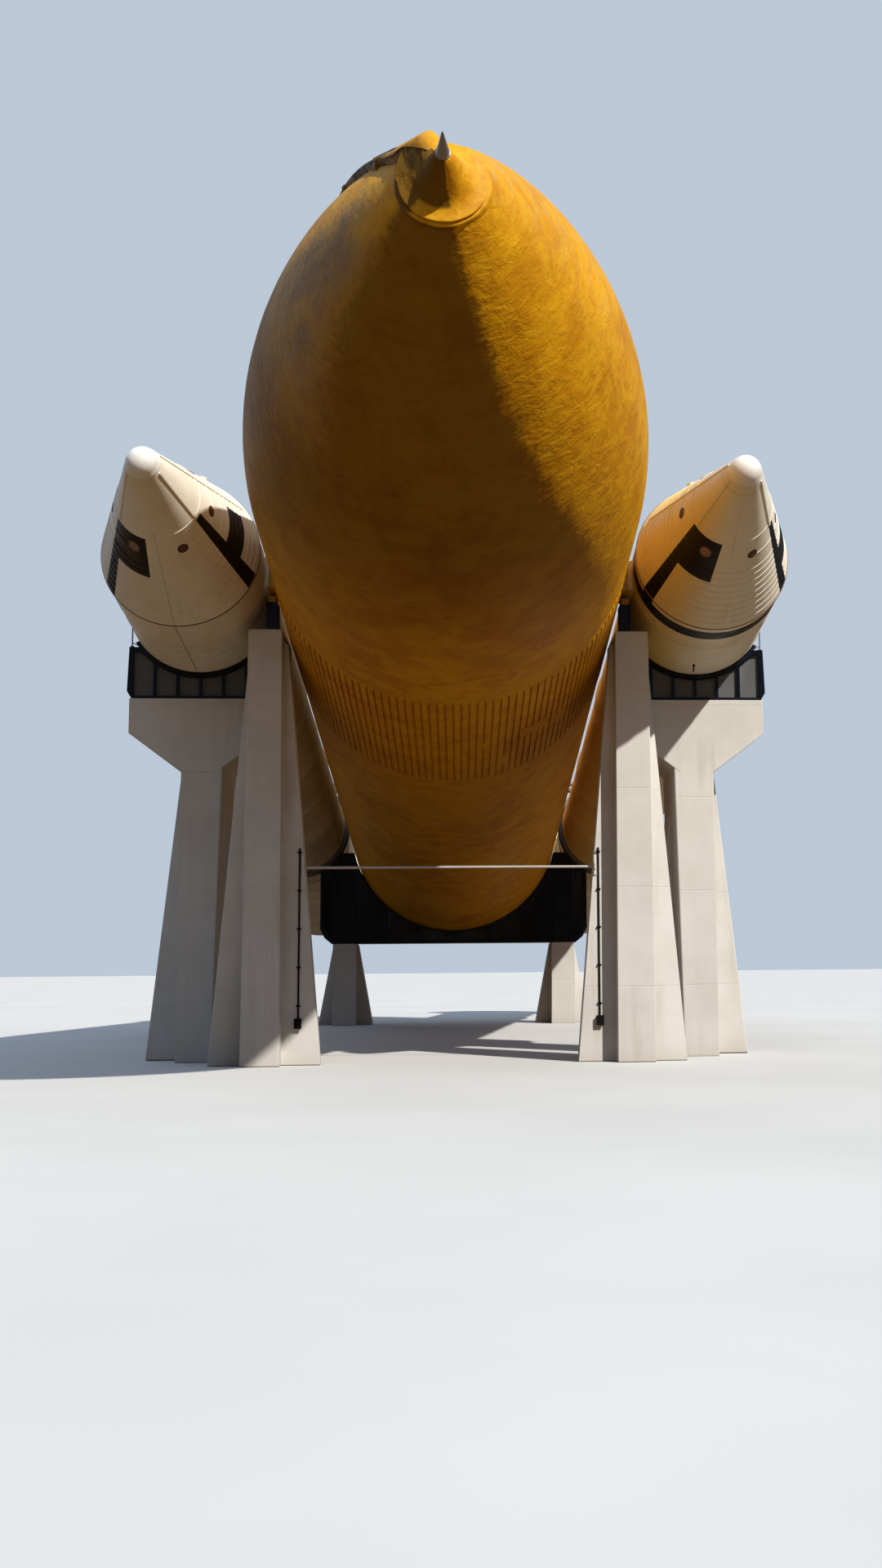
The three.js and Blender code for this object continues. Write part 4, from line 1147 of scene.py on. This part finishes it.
nozzle = {
    # radius and station; the ring's are measured from the pivot
    "ring": [(0.62, -0.07), (0.63, -0.08), (0.77, -0.08), (0.78, -0.07), (0.78, 0.07), (0.77, 0.08), (0.63, 0.08),
             (0.62, 0.07), (0.62, -0.07)],
    "outer": [(0, 42.35), (0.47, 42.35), (0.5, 42.36), (0.55, 42.41), (0.55, 42.84), (0.6, 42.93), (0.7, 43.01),
              (0.83, 43.12), (0.95, 43.25), (1.03, 43.37), (1.03, 43.41), (1.09, 43.42), (1.12, 43.45), (1.2, 43.62),
              (1.34, 43.9), (1.42, 44.08), (1.44, 44.08), (1.455, 44.13), (1.49, 44.27), (1.65, 44.7), (1.74, 44.98),
              (1.85, 45.33), (1.88, 45.42), (1.88, 45.48)],
    "inner": [(1.81, 45.48), (1.76, 45.3), (1.66, 44.98), (1.57, 44.72), (1.42, 44.32), (1.26, 43.96), (1.06, 43.6),
              (0.87, 43.33), (0.66, 43.08), (0.45, 42.9), (0, 42.86)],
    "pin": 0.05, "ringPins": (0.72, 0.806), "bellPins": (0.5, 0.606),    # radius; inner and outer ends from the axis
}


def addNozzle(side, look):
    pivot, pin = nozzlePivot, look["pin"]
    ringPins = [rod(*((end * x, pivot, 0) for x in look["ringPins"]), pin, 32) for end in (-1, 1)]
    bellPins = [rod(*((0, pivot, end * z) for z in look["bellPins"]), pin, 32) for end in (-1, 1)]
    addPart(side, "GimbalRing", [lathe([(r, pivot + s) for r, s in look["ring"]], 64), *ringPins], "steelPaint",
            body=side + "_gimbal")
    addPart(side, "Nozzle", [lathe(look["outer"] + look["inner"], 96), *bellPins], "nozzleBlack", body=side + "_bell")


saddle = {"from": 8.24, "to": 10.3, "start": -147.0, "end": -33.0, "inner": 0.004, "outer": 0.1, "roll": 0.012}


def arcBand(inner, outer, front, back, start, end, count=40):
    # a curved bar about the Y axis, between two angles in degrees
    corners = ((inner, front), (outer, front), (outer, back), (inner, back))
    return loft([[(r * cos(angle), s, r * sin(angle)) for r, s in corners]
                 for angle in steps(radians(start), radians(end), count)])


def addSaddle(side, look):
    # padded band between the booster and its front cradle, with a rolled front edge
    front, arc = look["from"], (look["start"], look["end"])
    inner, outer = booster["radius"] + look["inner"], booster["radius"] + look["outer"]
    addPart(side, "Saddle", [arcBand(inner, outer, front, look["to"], *arc),
                             arcBand(outer - 0.03, outer + look["roll"], front - 0.02, front + 0.05, *arc)],
            "cradlePaint", None, bevel=0.003)


tunnel = {"from": 8.35, "to": 32.7, "low": 0.03, "high": 0.165, "half": 0.13, "cover": 1.36, "angle": 25}


def addTunnel(side, look):
    low, high, half = booster["radius"] + look["low"], booster["radius"] + look["high"], look["half"]
    section = [(-half, low), (half, low), (half, high - 0.035), (half - 0.035, high), (-half + 0.035, high),
               (-half, high - 0.035)]
    lid = [(u * 1.07, v + (0.012 if v > low else -0.03)) for u, v in section]
    raised = [(u * 0.92, v + 0.03) for u, v in section]

    def stretch(start, end, outline):
        return sweep([((0, s, 0), (1, 0, 0)) for s in (start, end)], outline)

    joints, shapes = booster["joints"][:2], []
    for start, end in zip([look["from"], *(j + 0.12 for j in joints)], [*(j - 0.42 for j in joints), look["to"]]):
        shapes.append(stretch(start, end, section))
        covers = steps(start + 0.1, end - 0.1, int((end - start) / look["cover"]))
        shapes += [stretch(s - 0.04, s + 0.04, lid) for s in covers]
    shapes += [stretch(joint - 0.5, joint + 0.2, raised) for joint in joints]
    turn = -(90 - sideOf[side] * look["angle"])
    addPart(side, "SystemsTunnel", [turned(shape, turn) for shape in shapes], "coverPaint", bevel=0.004)


for side in sideOf:
    addPart(side, "NoseCap", [lathe(capPoints(booster), booster["sides"])], "capPaint")
    addPart(side, "Cone", coneShapes(booster), side + "Cone", smooth=30)
    addForwardSkirt(side, booster)
    if side == "right":
        addDrainPipe(drainPipe, booster["radius"])
    addSeparationMotors(side, separation)
    addMotors(side, booster)
    addAftSkirt(side, aftSkirt)
    addNozzle(side, nozzle)
    addSaddle(side, saddle)
    addTunnel(side, tunnel)
print("stage: boosters made")

# Supports and fittings keep their given shapes, with eased edges
easedNodes = [
    # finish, edge in metres on the model, its segments, nodes
    ("pierConcrete", 0.034, 1, ["left_inner_pier", "right_inner_pier", "left_outer_pier", "right_outer_pier",
                                "left_rear_pier", "right_rear_pier"]),
    ("cradlePaint", 0.003, 2, ["left_front_cradle", "right_front_cradle", "rear_cradle", "left_post", "right_post"]),
    ("fittingYellow", 0.003, 2, ["left_post_cap", "right_post_cap", "left_forward_fitting", "right_forward_fitting"]),
    ("steelPaint", 0.003, 2, ["forward_bipod", "aft_crossbeam", "left_aft_struts", "right_aft_struts"]),
    ("bareSteel", 0.0, 2, ["tie_rod"]),
]
webs = {"stations": (18.15, 19.55), "middle": 18.7, "shift": 0.21}    # web plates of the front cradles, shown shallower


def towards(distance):
    return distance + stackOrigin.y    # ground coordinate, from a point straight below the tank's station 0


def recessed(y):
    return any(abs(y - towards(station) * modelScale) < 0.01 for station in webs["stations"])


def addEased(node, finish, edge, segments):
    mesh = cleaned(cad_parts[node].data.copy(), flat=0.6)
    first, *others = node.split("_")
    addMesh(first + "".join(word.capitalize() for word in others), mesh, finish, [node], bevel=edge, smooth=30,
            segments=segments, slotName="spike_metal" if node == "tie_rod" else None)
    # web plates facing front and back take the paler grey, a painted sun highlight
    if finish == "cradlePaint":
        mesh.materials.append(finishes["webSunGlint"])
        for face in mesh.polygons:
            face.material_index = 1 if abs(face.normal.y) > 0.98 and recessed(face.center.y) else 0
        for vertex in mesh.vertices:
            if recessed(vertex.co.y):
                back = vertex.co.y > towards(webs["middle"]) * modelScale
                vertex.co.y += (webs["shift"] if back else -webs["shift"]) * modelScale


for finish, edge, segments, nodes in easedNodes:
    for node in nodes:
        addEased(node, finish, edge, segments)
print("stage: supports dressed")

# Small steelwork on the supports, in the ground frame: x to the right, y towards the tail, z up
steelwork = {
    "conduit": {"x": 3.62, "front": 16.15, "from": 1.1, "to": 5.18, "radius": 0.022, "clip": 0.9,
                "box": (0.16, 0.1, 0.22)},
    "tieBracket": {"x": 3.54, "front": 16.15, "low": 4.5, "high": 5.0, "width": 0.06, "eye": (4.64, 4.8)},
    "cornerRod": {"x": 8.11, "front": 17.95, "low": 10.48, "high": 11.0, "radius": 0.018},
    "cradleBolts": {"half": 1.62, "count": 13, "front": 17.85, "height": 9.175, "head": 0.018},
    "rearBolts": {"half": 4.9, "count": 36, "front": 42.5, "back": 43.7, "height": 3.36, "head": 0.022},
    # flared faces that widen the outer piers: front and back distance, and outline from the pier's axis outwards
    "flares": [(18.93, 19.97, [(0.0, 0.0), (1.39, 0.0), (0.595, 7.6), (0.0, 7.6)]),
               (17.795, 20.02, [(0.445, 0.0), (0.435, 7.6), (-0.605, 7.6), (-0.445, 0.0)])],
}


def addBoltRow(name, look, middle, face, turn):
    mesh = growMesh(name, boltRowTree, "cradlePaint", groundPlace, count=look["count"],
                    start=(middle - look["half"], towards(look[face]), look["height"]),
                    step=(2 * look["half"] / (look["count"] - 1), 0, 0), turn=(turn, 0, 0), head=look["head"],
                    height=look["head"] * 0.9)
    addMesh(name, mesh, "cradlePaint", smooth=30)


def addConduit(side, look):
    x, front, start, end = sideOf[side] * look["x"], towards(look["front"]), look["from"], look["to"]
    y, (wide, deep, tall) = front - look["radius"], look["box"]
    shapes = [rod((x, y, start), (x, y, end), look["radius"], 16)]
    for z in steps(start + 0.3, end - 0.1, int((end - start) / look["clip"])):
        shapes.append(block((x - 0.05, y - 0.03, z - 0.02), (x + 0.05, front + 0.01, z + 0.02)))
    shapes.append(block((x - wide / 2, front - deep, start - tall), (x + wide / 2, front + 0.01, start)))
    shapes.append(block((x - wide / 2 - 0.01, front - deep - 0.012, start - tall - 0.01),
                        (x + wide / 2 + 0.01, front - deep + 0.01, start + 0.01)))
    addPiece(side + "Conduit", shapes, "darkHollow", groundPlace, bevel=0.002)


def addTieBracket(side, look):
    x, y, half = sideOf[side] * look["x"], towards(look["front"]), look["width"] / 2
    low, high = look["eye"]
    addPiece(side + "TieBracket", [block((x - half, y - 0.03, look["low"]), (x + half, y + 0.3, look["high"])),
                                   block((x - 0.02, y - 0.05, low), (x + 0.02, y, high))],
             "coverPaint", groundPlace, slotName="grey_steel", bevel=0.003)


def addCornerRod(side, look):
    x, y, low, sign = sideOf[side] * look["x"], towards(look["front"]), look["low"], sideOf[side]
    addPiece(side + "CornerRod", [
        rod((x, y, low - 0.02), (x, y, look["high"]), look["radius"], 12),
        rod((x, y, low - 0.01), (x, y, low + 0.04), 0.05, 16),
        rod((x - sign * 0.02, y, low + 0.12), (x - sign * 0.3, y, low - 0.02), 0.012, 10),
    ], "steelPaint", groundPlace)


def addPierFlares(side, flares):
    shapes = [loft([[(sideOf[side] * (boosterOffset + x), towards(d), z) for x, z in outline] for d in (front, back)])
              for front, back, outline in flares]
    addPiece(side + "PierFlares", shapes, "pierConcrete", groundPlace, bevel=0.02)


for side in sideOf:
    addPierFlares(side, steelwork["flares"])
for side in sideOf:
    addConduit(side, steelwork["conduit"])
for side, sign in sideOf.items():
    addTieBracket(side, steelwork["tieBracket"])
    addCornerRod(side, steelwork["cornerRod"])
    addBoltRow(side + "CradleBolts1", steelwork["cradleBolts"], sign * boosterOffset, "front", pi / 2)
for face, turn in (("front", pi / 2), ("back", -pi / 2)):
    addBoltRow("rearCradleBolts" + face.capitalize() + "1", steelwork["rearBolts"], 0, face, turn)
print("stage: steelwork made")

# Floor and soft studio light
studio = {
    "floorPale": (0.62, 0.62, 0.61), "floorShade": (0.58, 0.58, 0.57), "floorBounce": (0.145, 0.088, 0.036),
    "floorHalf": 400, "floorTop": -0.002,
    "horizon": 0.04, "overhead": 0.75, "light": (0.68, 0.84, 1.1), "backdrop": (0.5, 0.58, 0.68),
}
suns = {
    # direction, strength, softness in degrees, colour
    "keyLight": ((-0.458, 0.586, -0.669), 4.6, 1.0, (1.0, 0.95, 0.86)),
    "edgeLight": ((0.5, -0.82, -0.28), 0.3, 50, (0.78, 0.87, 1.0)),
}


def seenByCamera():
    return wire("LightPath", output="Is Camera Ray")


def addFloor(look):
    shader, place = startMaterial("floorFinish"), wire("TexCoord", output="Object")
    pale = mixColor(spread(cloud(place, 0.3, 3.0), 0.3, 0.7), look["floorPale"], look["floorShade"])
    feed(shader["Base Color"], mixColor(seenByCamera(), look["floorBounce"], pale))    # throws less light than it shows
    shader["Roughness"].default_value = 0.9
    mesh, half = bpy.data.meshes.new("floor"), look["floorHalf"]
    corners = [(x * half, y * half, look["floorTop"]) for x, y in ((-1, -1), (1, -1), (1, 1), (-1, 1))]
    mesh.from_pydata(corners, [], [(0, 1, 2, 3)])
    mesh.materials.append(finishes["floorFinish"])
    addObject("floor", mesh)


def addSun(name, direction, strength, softness, color):
    data = bpy.data.lights.new(name, "SUN")
    data.energy, data.angle, data.color = strength, radians(softness), color
    lamp = addObject(name, data)
    lamp.rotation_mode = "QUATERNION"
    lamp.rotation_quaternion = Vector(direction).to_track_quat("-Z", "Y")


def addSky(look):
    # a soft dome, brightest overhead, that the camera sees as one pale backdrop
    world = bpy.context.scene.world = bpy.data.worlds.new("studio")
    world.use_nodes = True
    work["tree"] = world.node_tree
    back = world.node_tree.nodes["Background"].inputs
    up = split(wire("TexCoord", output="Generated"))[2]
    height = spread(up, 0.0, 1.0, look["horizon"], look["overhead"], smooth=False)
    seen = seenByCamera()
    feed(back["Color"], mixColor(seen, look["light"], look["backdrop"]))
    feed(back["Strength"], wire("Mix", {0: seen, 2: height, 3: 1.0}))


addFloor(studio)
for name, look in suns.items():
    addSun(name, *look)
addSky(studio)
print("stage: floor and lights made")
